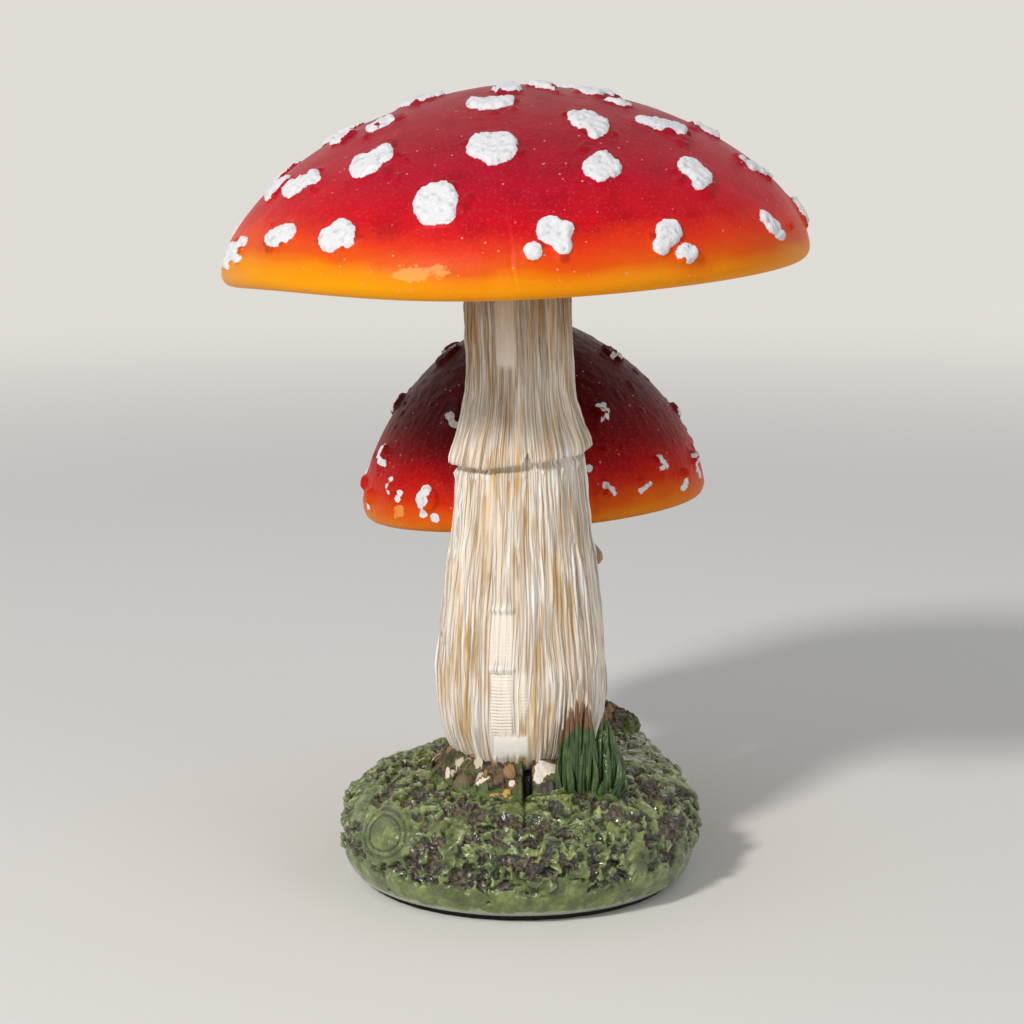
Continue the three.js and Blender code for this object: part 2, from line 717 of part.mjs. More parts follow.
// A clump of bent, tapering blades that grow from one round root.
function tuftSolid(tuft) {
  const rootProfile = [
    [0, 0], [tuftRadius, 0], [tuftRadius, tuftRootDepth],
    [tuftRadius * 0.7, tuftRootDepth + tuftCrown * 0.7], [0, tuftRootDepth + tuftCrown],
  ];
  let body = solid(turned(rootProfile.map(([r, z]) => new THREE.Vector2(r, z)), 14));
  for (let i = 0; i < tuft.blades; i += 1) {
    const around = (2 * Math.PI * i) / tuft.blades + scatter(i + tuft.seed);
    const length = tuft.bladeHeight * (0.62 + 0.38 * scatter(i * 3 + tuft.seed));
    const lean = bladeLean * scatter(i + 11 + tuft.seed);
    const blade = new THREE.CylinderGeometry(bladeTipRadius, bladeRadius, length, 5, 3);
    blade.rotateX(Math.PI / 2).translate(0, 0, length / 2).scale(1, 1.5, 1);
    const position = blade.attributes.position;
    for (let k = 0; k < position.count; k += 1) {
      const share = position.getZ(k) / length;
      position.setX(k, position.getX(k) + lean * length * share * share);
    }
    const root = (tuftRadius - bladeRadius * 1.4) * (i === 0 ? 0 : 1);
    blade.translate(root, 0, tuftRootDepth - 0.5).rotateZ(around);
    body = body.add(solid(blade));
  }
  return body.translate(tuftPlace(tuft).toArray());
}

// Worked-out places and the two toadstools

const baseUnderside = padThickness + glueGap;
const seatHeight = baseUnderside + baseHeight - collarSink;
const shortSeatHeight = seatHeight - shortSeatDrop;

const tallAxis = capAxis(tallCapTiltDegrees, tallCapBackTiltDegrees);
const tallLine = centreLine(new THREE.Vector3(0, 0, tallBendHeight), tallAxis, tallNeckLength);
const shortAxis = capAxis(shortCapTiltDegrees, shortCapBackTiltDegrees);
const shortBend = new THREE.Vector3(shortBendX, shortBendY, shortBendHeight);
const shortLine = centreLine(shortBend, shortAxis, shortNeckLength);

const tall = {
  place: new THREE.Vector3(0, 0, seatHeight),
  stem: {
    spigotRadius: tallSpigotRadius,
    spigotDepth: tallSpigotDepth,
    footRadius: tallFootRadius,
    footHeight: tallFootHeight,
    bulbHeight: tallBulbHeight,
    waistRadius: tallWaistRadius,
    skirtHeight: tallSkirtHeight,
    skirtRadius: tallSkirtRadius,
    skirtThickness: tallSkirtThickness,
    skirtFall: tallSkirtFall,
    skirtTilt: tallSkirtTiltDegrees,
    neckRadius: tallNeckRadius,
    tenonRadius: tallTenonRadius,
    tenonLength: tallTenonLength,
    flutes: tallFluteCount,
    fluteDepth: tallFluteDepth,
    line: tallLine,
    shoulder: tallLine.getLength(),
    capDowel: { radius: capDowelRadius, length: capDowelLength },
    footDowel: { radius: tallFootDowelRadius, length: tallFootDowelLength },
  },
  cap: {
    radius: tallCapRadius,
    domeHeight: tallDomeHeight,
    rimHeight: tallRimHeight,
    lipWidth: tallLipWidth,
    lipDrop: tallLipDrop,
    gills: tallGillCount,
    gillDepth: tallGillDepth,
    rimRise: tallRimRise,
    crownColor: 0xa01018,
    fullness: tallDomeFullness,
    segments: 48,
    warts: [...tallFrontWarts, ...backWarts(tallBackRings, tallBackWartSize)],
    neckRadius: tallNeckRadius,
    tenonRadius: tallTenonRadius,
    tenonLength: tallTenonLength,
    dowel: { radius: capDowelRadius, length: capDowelLength },
  },
  collar: {
    radius: tallCollarRadius,
    height: tallCollarHeight,
    edge: tallCollarEdge,
    under: tallCollarUnder,
    chips: 12,
  },
};

const short = {
  place: new THREE.Vector3(),
  stem: {
    spigotRadius: shortSpigotRadius,
    spigotDepth: shortSpigotDepth,
    footRadius: shortFootRadius,
    footHeight: shortFootHeight,
    bulbHeight: shortBulbHeight,
    waistRadius: shortWaistRadius,
    skirtHeight: shortSkirtHeight,
    skirtRadius: shortSkirtRadius,
    skirtThickness: shortSkirtThickness,
    skirtFall: shortSkirtFall,
    skirtTilt: shortSkirtTiltDegrees,
    neckRadius: shortNeckRadius,
    tenonRadius: shortTenonRadius,
    tenonLength: shortTenonLength,
    flutes: shortFluteCount,
    fluteDepth: shortFluteDepth,
    line: shortLine,
    shoulder: shortLine.getLength(),
    capDowel: { radius: shortCapDowelRadius, length: shortCapDowelLength },
    footDowel: { radius: shortFootDowelRadius, length: shortFootDowelLength },
  },
  cap: {
    radius: shortCapRadius,
    domeHeight: shortDomeHeight,
    rimHeight: shortRimHeight,
    lipWidth: shortLipWidth,
    lipDrop: shortLipDrop,
    gills: shortGillCount,
    gillDepth: shortGillDepth,
    rimRise: shortRimRise,
    crownColor: 0x4a0d12,
    fullness: shortDomeFullness,
    segments: 36,
    warts: [...shortFrontWarts, ...backWarts(shortBackRings, shortBackWartSize)],
    neckRadius: shortNeckRadius,
    tenonRadius: shortTenonRadius,
    tenonLength: shortTenonLength,
    dowel: { radius: shortCapDowelRadius, length: shortCapDowelLength },
  },
  collar: {
    radius: shortCollarRadius,
    height: shortCollarHeight,
    edge: shortCollarEdge,
    under: shortCollarUnder,
    chips: 9,
  },
};

// The short cap's rim stands clear of the tall stem's shaft, which sets where its foot stands.
const shortRim = shortLine.v2.clone().addScaledVector(shortAxis, shortRimHeight);
const shaftRadius = radiusAt(stemProfile(tall.stem), shortRim.z - shortSeatDrop);
const shortFootY = shaftRadius + neighbourGap + shortCapRadius - shortRim.y;
short.place.set(shortFootX, shortFootY, shortSeatHeight);

const rearLobeRadius = shortCollarRadius + rearLobeMargin;
const frontLobe = new THREE.Vector2(frontLobeX, 0);
const rearLobe = new THREE.Vector2(shortFootX - rearLobeSetLeft, shortFootY - rearLobeSetForward);
const baseMiddle = frontLobe.clone().lerp(rearLobe, middleShare);

const leftTuft = { bearing: leftTuftBearingDegrees, bladeHeight: leftBladeHeight, blades: 9, seed: 2 };
const rightTuft = {
  bearing: rightTuftBearingDegrees,
  bladeHeight: rightBladeHeight,
  blades: 8,
  seed: 9,
};

// Assembly

// A toadstool's stem, litter collar, cap and the two dowels, in a group that stands on its seat.
function toadstoolGroup(name, toadstool) {
  const { stem, cap, place } = toadstool;
  const group = new THREE.Group();
  group.position.copy(place);
  group.add(piece(`${name}_stem`, geometryOf(stemSolid(stem)), 0xe6dcc3, 0.62));

  const capGroup = new THREE.Group();
  const seat = frameAt(stem.line, stem.shoulder + glueGap);
  seat.decompose(capGroup.position, capGroup.quaternion, capGroup.scale);
  const capGeometry = painted(geometryOf(capSolid(cap)), capPaint(cap));
  capGroup.add(piece(`${name}_cap`, capGeometry, 0xffffff, 0.42));
  const tenonTop = stem.tenonLength - glueGap;
  const capDowel = new THREE.CylinderGeometry(cap.dowel.radius, cap.dowel.radius, cap.dowel.length, 20);
  capDowel.rotateX(Math.PI / 2).translate(0, 0, tenonTop);
  capGroup.add(piece(`${name}_cap_dowel`, capDowel, 0x9a9c9f, 0.3, 1));
  group.add(capGroup);

  const footGroup = new THREE.Group();
  const foot = frameAt(stem.line, -stem.spigotDepth);
  foot.decompose(footGroup.position, footGroup.quaternion, footGroup.scale);
  const { radius, length } = stem.footDowel;
  const footDowel = new THREE.CylinderGeometry(radius, radius, length, 20);
  footDowel.rotateX(Math.PI / 2).translate(0, 0, length / 2 - footDowelInBase);
  footGroup.add(piece(`${name}_foot_dowel`, footDowel, 0x9a9c9f, 0.3, 1));
  group.add(footGroup);
  return group;
}

// The tall collar is also cut clear of the tufts, and by the narrow slit at its front.
function tallLitterSolid() {
  const down = tall.place.clone().negate().toArray();
  const slit = solid(
    new THREE.BoxGeometry(slitWidth, slitLength, slitLength)
      .translate(slitX, -slitInner - slitLength / 2, slitFloor + slitLength / 2),
  );
  return collarSolid(tall)
    .subtract(tuftRoom(leftTuft).translate(down))
    .subtract(tuftRoom(rightTuft).translate(down))
    .subtract(slit);
}

const ornament = new THREE.Group();
ornament.add(piece('base_pad', geometryOf(basePadSolid()), 0x1d1c1a, 0.95));
ornament.add(piece('moss_base', geometryOf(mossBaseSolid()), 0x3c5a22, 0.5));
ornament.add(toadstoolGroup('tall', tall));
ornament.add(toadstoolGroup('short', short));

const tallLitter = piece('tall_litter', geometryOf(tallLitterSolid()), 0x6e5334, 0.8);
tallLitter.position.copy(tall.place);
ornament.add(tallLitter);
const shortLitter = piece('short_litter', geometryOf(collarSolid(short)), 0x5d4530, 0.8);
shortLitter.position.copy(short.place);
ornament.add(shortLitter);

ornament.add(piece('left_grass_tuft', geometryOf(tuftSolid(leftTuft)), 0x2f6a24, 0.4));
ornament.add(piece('right_grass_tuft', geometryOf(tuftSolid(rightTuft)), 0x2f6a24, 0.4));

export default ornament;
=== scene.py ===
# %% [markdown]
# Two painted toadstools of cast resin on one mossy mound. The real ornament is poured in a rubber
# mould, so every surface has the relief that a sculptor cut into the pattern: craggy warts, long
# flutes, a torn skirt, pitted moss. The paint then follows that relief, with an ochre wash in the
# hollows and white dabbed on the high spots. Each step below makes the relief of one piece as a
# fine mesh, keeps what it knows about each point (how high it is, how deep a groove is) on the mesh
# itself, and lets the paint read that. The frame gives the place of every piece.

# %% Load the frame
import math

import bpy
import numpy as np
from mathutils import Matrix, Vector
from mathutils.bvhtree import BVHTree
from mathutils.kdtree import KDTree


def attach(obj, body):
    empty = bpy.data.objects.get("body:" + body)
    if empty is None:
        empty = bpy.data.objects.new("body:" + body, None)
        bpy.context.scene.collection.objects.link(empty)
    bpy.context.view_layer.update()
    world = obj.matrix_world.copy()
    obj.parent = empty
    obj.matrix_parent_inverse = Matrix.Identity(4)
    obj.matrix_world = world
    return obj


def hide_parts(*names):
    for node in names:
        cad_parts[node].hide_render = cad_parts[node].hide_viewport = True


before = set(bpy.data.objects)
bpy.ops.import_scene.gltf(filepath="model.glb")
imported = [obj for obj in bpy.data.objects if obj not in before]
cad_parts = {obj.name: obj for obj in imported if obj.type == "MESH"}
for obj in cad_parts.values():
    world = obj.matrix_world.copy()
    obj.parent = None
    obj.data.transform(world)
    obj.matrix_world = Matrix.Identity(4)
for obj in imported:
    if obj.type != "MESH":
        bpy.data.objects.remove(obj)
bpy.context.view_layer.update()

# %% [markdown]
# The camera comes first, because the dabs of paint are placed by where they are seen. It stands
# half a metre in front, a little higher than the tall cap's rim, tipped down by eleven degrees. The
# lens follows from how large the ornament is in the picture, which is 1024 pixels wide.

# %% Camera
MM = 0.001
EYE = np.array([-1.8, -550.0, 179.0])
PITCH = math.radians(11.15)
FOCAL = 2980
PICTURE = 1024

camera = bpy.data.cameras.new("photo_camera")
camera.sensor_width = 36
camera.lens = camera.sensor_width * FOCAL / PICTURE
camera.clip_start = 0.01
stand = bpy.data.objects.new("photo_camera", camera)
stand.matrix_world = Matrix.Translation(EYE * MM) @ Matrix.Rotation(math.pi / 2 - PITCH, 4, "X")
bpy.context.scene.collection.objects.link(stand)
bpy.context.scene.camera = stand


def seen(points):
    """Column and row of points in the picture, and how many millimetres a pixel spans there."""
    away = points - EYE
    depth = away[:, 1] * math.cos(PITCH) - away[:, 2] * math.sin(PITCH)
    up = away[:, 2] * math.cos(PITCH) + away[:, 1] * math.sin(PITCH)
    column = PICTURE / 2 + FOCAL * away[:, 0] / depth
    row = PICTURE / 2 - FOCAL * up / depth
    return column, row, depth / FOCAL


print("lens:", round(camera.lens, 1), "mm")

# %% [markdown]
# All shapes are worked out in millimetres, the unit of the real drawing, and only become metres
# when a mesh is made. The two rods inside each stem tell where a stem and its cap stand: a rod's
# middle and direction come straight from the frame.

# %% Lengths and places from the frame


def points_of(node):
    """A CAD node's points, in millimetres."""
    return np.array([v.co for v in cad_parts[node].data.vertices]) / MM


def unit(vectors):
    """Vectors of length 1."""
    return vectors / np.maximum(np.linalg.norm(vectors, axis=-1, keepdims=True), 1e-12)


def rod(node):
    """Middle and upward direction of a steel dowel."""
    points = points_of(node)
    middle = (points.min(axis=0) + points.max(axis=0)) / 2
    along = np.linalg.svd(points - middle, full_matrices=False)[2][0]
    return middle, along * np.sign(along[2])


def upright(direction):
    """Three axes, as rows: to the side, away, and along a direction."""
    up = unit(np.asarray(direction))
    side = unit(np.array([1.0, 0.0, 0.0]) - up[..., :1] * up)
    return np.stack([side, np.cross(up, side), up], axis=-2)


print("tall cap's rod:", rod("tall_cap_dowel"))

# %% [markdown]
# Natural relief needs two kinds of scattered pattern. Smooth noise gives swells and wandering
# lines; scattered cells, each with its own height and tilt, give chips and crumbs. Both are worked
# out here for whole arrays of points at once, from a fixed seed, so every run gives the same mesh.

# %% Noise and cells
dice = np.random.default_rng(11)
ORDER = dice.permutation(256)
SLOPES = unit(dice.normal(size=(256, 3)))
SCATTER = dice.random((256, 3))


def ease(x, low=0.0, high=1.0):
    """0 below low, 1 above high, and smooth between."""
    t = np.clip((x - low) / (high - low), 0, 1)
    return t * t * (3 - 2 * t)


def bell(x, width):
    """1 in the middle, falling to nearly 0 at twice this width."""
    return np.exp(-((x / width) ** 2))


def within(x, low, high, soft=0.35):
    """1 between two bounds, with soft edges."""
    return ease(x, low - soft, low + soft) * (1 - ease(x, high - soft, high + soft))


def shuffled(cell, seed):
    """A number from 0 to 255 for each lattice cell."""
    first = ORDER[(cell[:, 0] + seed * 37) & 255]
    second = ORDER[(first + cell[:, 1]) & 255]
    return ORDER[(second + cell[:, 2]) & 255]


def noise(points, size, seed=0):
    """Smooth noise from about -1 to 1, with lumps of this size."""
    at = points / size
    cell = np.floor(at).astype(int)
    part = at - cell
    blend = part**3 * (part * (part * 6 - 15) + 10)
    total = np.zeros(len(points))
    for corner in np.ndindex(2, 2, 2):
        slope = SLOPES[shuffled(cell + corner, seed)]
        weight = np.prod(np.where(corner, blend, 1 - blend), axis=1)
        total += weight * np.einsum("ij,ij->i", slope, part - corner)
    return total * 1.7


def shaken(points, far, size, seeds):
    """Points pushed about by noise, so that what is made from them has no straight edges."""
    return points + far * np.stack([noise(points, size, seed) for seed in seeds], axis=1)


def rough(points, size, octaves, seed):
    """Noise with finer and finer noise on top."""
    total = sum(noise(points, size / 2**k, seed + k) / 2**k for k in range(octaves))
    return total / (2 - 0.5 ** (octaves - 1))


def cells(points, size, seed=0):
    """Distance to the nearest scattered centre, its lead over the next one, its number from 0 to 1,
    and the place within its cell."""
    at = points / size
    home = np.floor(at).astype(int)
    near = np.full(len(at), 9.0)
    following = np.full(len(at), 9.0)
    number = np.zeros(len(at))
    place = np.zeros_like(at)
    for step in np.ndindex(3, 3, 3):
        cell = home + np.array(step) - 1
        pick = shuffled(cell, seed)
        offset = at - (cell + SCATTER[pick])
        far = np.linalg.norm(offset, axis=1)
        closer = far < near
        following = np.where(closer, near, np.minimum(following, far))
        near = np.where(closer, far, near)
        number = np.where(closer, pick / 255, number)
        place = np.where(closer[:, None], offset, place)
    return near, following - near, number, place


print("noise sample:", np.round(noise(np.arange(9.0).reshape(3, 3) * 0.37, 1.0), 3))

# %% [markdown]
# A round cast piece is a disc laid over a form. A plain fan of wedges would have needles at the
# crown and slabs at the rim, so the disc here has six more points on each ring than on the last:
# its triangles are all alike, and relief comes out equally sharp everywhere. Rings below the rim
# all have the rim's number of points.

# %% Meshes of even triangles


def disc(rings):
    """Ring share and angle of each point of a disc, and its triangles."""
    share, angle, faces = [np.zeros(1)], [np.zeros(1)], []
    first = [0] + [1 + 3 * k * (k - 1) for k in range(1, rings + 1)]
    for k in range(1, rings + 1):
        count = 6 * k
        share.append(np.full(count, k / rings))
        angle.append(spokes(count))
        sector, j = np.meshgrid(np.arange(6), np.arange(k), indexing="ij")
        sector, j = sector.ravel(), j.ravel()
        outer = first[k] + sector * k + j
        outer_next = first[k] + (sector * k + j + 1) % count
        inner_count = max(6 * (k - 1), 1)
        inner = first[k - 1] + (sector * (k - 1) + j) % inner_count
        faces.append(np.stack([inner, outer, outer_next], axis=1))
        inside = j < k - 1
        inner_next = first[k - 1] + (sector * (k - 1) + j + 1) % inner_count
        faces.append(np.stack([inner, outer_next, inner_next], axis=1)[inside])
    return np.concatenate(share), np.concatenate(angle), np.concatenate(faces)


def band(first, count, rings):
    """Triangles that join rings of count points each, one after another from point number first."""
    ring, i = np.meshgrid(np.arange(rings - 1), np.arange(count), indexing="ij")
    a = (first + ring * count + i).ravel()
    b = (first + ring * count + (i + 1) % count).ravel()
    return np.concatenate(
        [np.stack([a, a + count, b + count], axis=1), np.stack([a, b + count, b], axis=1)]
    )


def lid(first, count, centre, flip=False):
    """Triangles that close a ring onto one point."""
    a = first + np.arange(count)
    b = first + (np.arange(count) + 1) % count
    fan = np.stack([a, np.full(count, centre), b], axis=1)
    return fan[:, ::-1] if flip else fan


def tube(count, rings):
    """Triangles of a closed tube: rings of count points, then the middles of its two ends."""
    last = count * rings
    ends = [lid(0, count, last), lid(last - count, count, last + 1, flip=True)]
    return np.concatenate([band(0, count, rings)[:, ::-1], *ends])


def normals(points, faces):
    """Outward direction at each point."""
    a, b, c = (points[faces[:, k]] for k in range(3))
    face = np.cross(b - a, c - a)
    total = np.zeros_like(points)
    for k in range(3):
        np.add.at(total, faces[:, k], face)
    return unit(total)


def softened(values, faces, times):
    """Values on points, evened out with their neighbours."""
    pairs = np.concatenate([faces[:, [0, 1]], faces[:, [1, 2]], faces[:, [2, 0]]])
    for _ in range(times):
        total = np.bincount(pairs[:, 0], values[pairs[:, 1]], len(values))
        count = np.bincount(pairs[:, 0], minlength=len(values))
        values = 0.5 * values + 0.5 * total / np.maximum(count, 1)
    return values


def polar(points):
    """Distance from the Z axis and angle round it."""
    return np.hypot(points[:, 0], points[:, 1]), np.arctan2(points[:, 1], points[:, 0])


def around(away, angle, height):
    """Points from distance, angle and height."""
    return np.stack([away * np.cos(angle), away * np.sin(angle), height + 0 * angle], axis=1)


def spokes(count):
    """Angles of points spaced evenly round a ring."""
    return np.arange(count) * 2 * math.pi / count


def off_bearing(angle, bearing):
    """Degrees from a bearing, from -180 to 180."""
    return (np.degrees(angle) - bearing + 540) % 360 - 180


def bulge(radius, low, rise, fullness, count):
    """A rounded profile from the axis out to a radius: 2 is an ellipse, less is more pointed."""
    turn = np.linspace(math.pi / 2, 0, count)
    power = 2 / fullness
    away = radius * np.cos(turn).clip(0) ** power
    return np.stack([away, low + rise * np.sin(turn) ** power], axis=1)


def lengths_along(path):
    """How far along a path each of its points is."""
    return np.concatenate([[0], np.cumsum(np.linalg.norm(np.diff(path, axis=0), axis=1))])


def bezier(points, count):
    """Points along a Bezier curve, without its first."""
    points = [np.array(p, float) for p in points]
    t = (np.arange(count) + 1)[:, None] / count
    while len(points) > 1:
        points = [a + (b - a) * t for a, b in zip(points, points[1:])]
    return points[0]


def picked(path, along, at):
    """A path's places, or what else its rows hold, at these distances along it."""
    return np.stack([np.interp(at, along, column) for column in path.T], axis=1)


def evenly(path, count):
    """A path's points, spaced evenly."""
    path = np.array(path, float)
    along = lengths_along(path)
    return picked(path, along, np.linspace(0, along[-1], count))


def piece(name, points, faces, node, facts):
    """A mesh piece from millimetre points, which stands for a CAD node and keeps facts on its points."""
    mesh = bpy.data.meshes.new(name)
    mesh.vertices.add(len(points))
    mesh.vertices.foreach_set("co", (points * MM).astype(np.float32).ravel())
    mesh.loops.add(faces.size)
    mesh.loops.foreach_set("vertex_index", faces.astype(np.int32).ravel())
    mesh.polygons.add(len(faces))
    mesh.polygons.foreach_set("loop_start", np.arange(0, faces.size, 3, dtype=np.int32))
    mesh.update(calc_edges=True)
    mesh.validate()
    mesh.shade_smooth()
    for fact, values in facts.items():
        kept = mesh.attributes.new(fact, "FLOAT", "POINT")
        kept.data.foreach_set("value", np.asarray(values, np.float32))
    made = bpy.data.objects.new(name, mesh)
    bpy.context.scene.collection.objects.link(made)
    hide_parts(node)
    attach(made, "root")
    print(f"{name}: {len(points)} points, {len(faces)} triangles")
    return made


print("disc of 3 rings:", len(disc(3)[0]), "points,", len(disc(3)[2]), "triangles")

# %% [markdown]
# The caps come first, because everyone looks at them first. The frame already has each cap with
# its warts, coarsely. The fine cap is an even disc laid over the same dome, and it asks the frame
# where the warts are: from just outside each point it looks straight in, and where the CAD cap is
# met early, a wart stands there. Only the ragged edge and the crumbly top of each wart are added.

# %% Sizes of the caps
GLUE_GAP = 0.3
CAP_SIZES = {
    "node": ("tall_cap", "short_cap"),
    "dowel": ("tall_cap_dowel", "short_cap_dowel"),
    "radius": (54.3, 34.9),
    "dome": (32.4, 36.4),
    "rim": (1.4, 1.5),
    "lip": (5.2, 4.4),
    "drop": (0.5, 0.7),
    "fullness": (1.74, 1.64),
    "rings": (156, 130),
    "gills": (94, 72),
    "gill_depth": (1.7, 1.4),
    "neck": (9.9, 7.4),
    "tenon": (7.5, 5),
    "tenon_length": (5, 4),
    "dowel_radius": (2, 1.5),
    "dowel_length": (24, 16),
    "rim_rise": (2.1, 0),
    "wart_height": (1.05, 1.0),
    "seed": (40, 80),
}
TALL_CAP, SHORT_CAP = ({size: pair[i] for size, pair in CAP_SIZES.items()} for i in range(2))
DOME_SAMPLES = 2000
GILL_RINGS = 14
RIM_RISE_BEARING, RIM_RISE_SPREAD = 217, 34
# the front-left side, which faces the key lamp: the tall cap's amber is painted higher there, partly the
# airbrush and partly painted light
LIT_SIDE_BEARING, LIT_SIDE_SPREAD = 215, 32


def rim_rise(cap, points):
    """How far the cap's rim curls up at each point."""
    away, angle = polar(points)
    out = ease(away, cap["radius"] * 0.55, cap["radius"] * 0.97)
    low = 1 - ease(points[:, 2], 1, cap["dome"] * 0.45)
    return cap["rim_rise"] * bell(off_bearing(angle, RIM_RISE_BEARING), RIM_RISE_SPREAD) * out * low


def dome_outline(cap):
    """Distance from the axis and height, evenly from the crown to the rim."""
    path = bulge(cap["radius"], cap["rim"], cap["dome"], cap["fullness"], DOME_SAMPLES)
    return evenly(path, cap["rings"] + 1)


def under_outline(cap):
    """Rolled lip, gill plane, socket and rod hole, from the rim inwards."""
    radius, lip, drop = cap["radius"], cap["lip"], cap["drop"]
    lip_end = radius - lip
    roll = bezier([(radius, cap["rim"]), (radius - 0.3, -drop), (radius - lip * 0.45, -drop)], 6)
    back = bezier([roll[-1], (lip_end + 1, -drop), (lip_end, 0)], 4)
    gills = np.linspace(lip_end - 0.5, cap["neck"] + 1.0, GILL_RINGS)
    flat = np.stack([gills, np.zeros(len(gills))], axis=1)
    top = cap["tenon_length"]
    socket = cap["tenon"] + GLUE_GAP
    hole = cap["dowel_radius"] + GLUE_GAP
    inner = [(socket, 0), (socket, top), (hole, top), (hole, top + cap["dowel_length"] / 2)]
    return np.concatenate([roll, back, flat, inner])


print("tall dome:", len(dome_outline(TALL_CAP)), "rings to", dome_outline(TALL_CAP)[-1])

# %% Surface of a cap before its relief


def gill_lift(cap, away, angle):
    """Depth of the cut between two gills: near the stem every second gill has stopped."""
    turn = angle * cap["gills"] / 2 + 0.15 * np.sin(3 * angle) * np.sin(away / 5)
    blade = np.abs(np.sin(turn)) ** 0.7
    half = np.abs(np.sin(turn / 2)) ** 0.7
    reach = ease(away, cap["radius"] * 0.42, cap["radius"] * 0.5)
    ends = ease(away, cap["neck"] + 1, cap["neck"] + 4)
    lip_end = cap["radius"] - cap["lip"]
    ends = ends * (1 - ease(away, lip_end - 1.5, lip_end))
    return cap["gill_depth"] * (blade * reach + half * (1 - reach)) * ends


def cap_surface(cap):
    """Points and triangles of a cap without relief, about its own axis, and which are on the dome."""
    share, angle, faces = disc(cap["rings"])
    outline = dome_outline(cap)
    ring = np.rint(share * cap["rings"]).astype(int)
    away, height = outline[ring, 0], outline[ring, 1]
    count = 6 * cap["rings"]
    last = len(away) - count
    under = under_outline(cap)
    below_away = np.repeat(under[:, 0], count)
    below_height = np.repeat(under[:, 1], count)
    below_angle = np.tile(angle[last:], len(under))
    gilled = (below_height == 0) & (below_away > cap["neck"])
    below_height += np.where(gilled, gill_lift(cap, below_away, below_angle), 0)
    centre = len(away) + len(below_away)
    faces = np.concatenate(
        [faces, band(last, count, len(under) + 1), lid(centre - count, count, centre)]
    )
    away = np.concatenate([away, below_away, [0]])
    height = np.concatenate([height, below_height, under[-1:, 1]])
    angle = np.concatenate([angle, below_angle, [0]])
    points = around(away, angle, height)
    points[:, 2] += rim_rise(cap, points)
    return points, faces, np.arange(len(away)) < last + count


for cap in (TALL_CAP, SHORT_CAP):
    print(cap["node"], "has", len(cap_surface(cap)[1]), "triangles")

# %% [markdown]
# A cap's own frame stands on its rod. The look inwards uses a BVH tree of the CAD cap. The answer
# is only yes or no for each point, so the distance to the nearest point with the other answer is
# worked out as well: it says how far inside or outside a wart's outline each point lies, and a
# little noise on that distance turns a seven-sided outline into a ragged one.

# %% Where the warts are
WART_SHOWS = 0.3
LOOK_FROM = 3
FAR = 9
WART_SOFTENING = 9


def cap_place(cap):
    """Origin and axes of a cap."""
    middle, up = rod(cap["dowel"])
    return middle - up * (cap["tenon_length"] - GLUE_GAP), upright(up)


def inside_warts(cap, points, out, faces, on_dome):
    """How far inside a CAD wart's outline each point is, in millimetres, negative outside."""
    origin, axes = cap_place(cap)
    world = points @ axes + origin
    towards = out @ axes
    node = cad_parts[cap["node"]].data
    tree = BVHTree.FromPolygons([v.co for v in node.vertices], [p.vertices[:] for p in node.polygons])
    met = np.zeros(len(points), bool)
    for i in np.flatnonzero(on_dome):
        start = Vector((world[i] + towards[i] * LOOK_FROM) * MM)
        distance = tree.ray_cast(start, Vector(-towards[i]), 2 * LOOK_FROM * MM)[3]
        met[i] = distance is not None and LOOK_FROM - distance / MM > WART_SHOWS
    answers = []
    for wanted in (True, False):
        chosen = np.flatnonzero((met == wanted) & on_dome)
        answer = KDTree(len(chosen))
        for i in chosen:
            answer.insert(points[i], int(i))
        answer.balance()
        answers.append(answer)
    depth = np.full(len(points), float(-FAR))
    for i in np.flatnonzero(on_dome):
        far = answers[int(met[i])].find(points[i])[2]
        depth[i] = far if met[i] else -far
    return softened(np.clip(depth, -FAR, FAR), faces, WART_SOFTENING)


print("tall cap stands at", np.round(cap_place(TALL_CAP)[0], 2))

# %% [markdown]
# At the front the warts can be told apart one by one, so their outlines are built up there from
# round touches, as a painter would dab them: column and row in the picture, and radius, all in
# pixels. A touch is projected onto whatever part of the cap is seen behind it, and where the cap
# turns away it stays nearly round, so that it also looks right from the side. The second list has
# the bare red lumps that stick out beside some warts, where the white missed the casting.

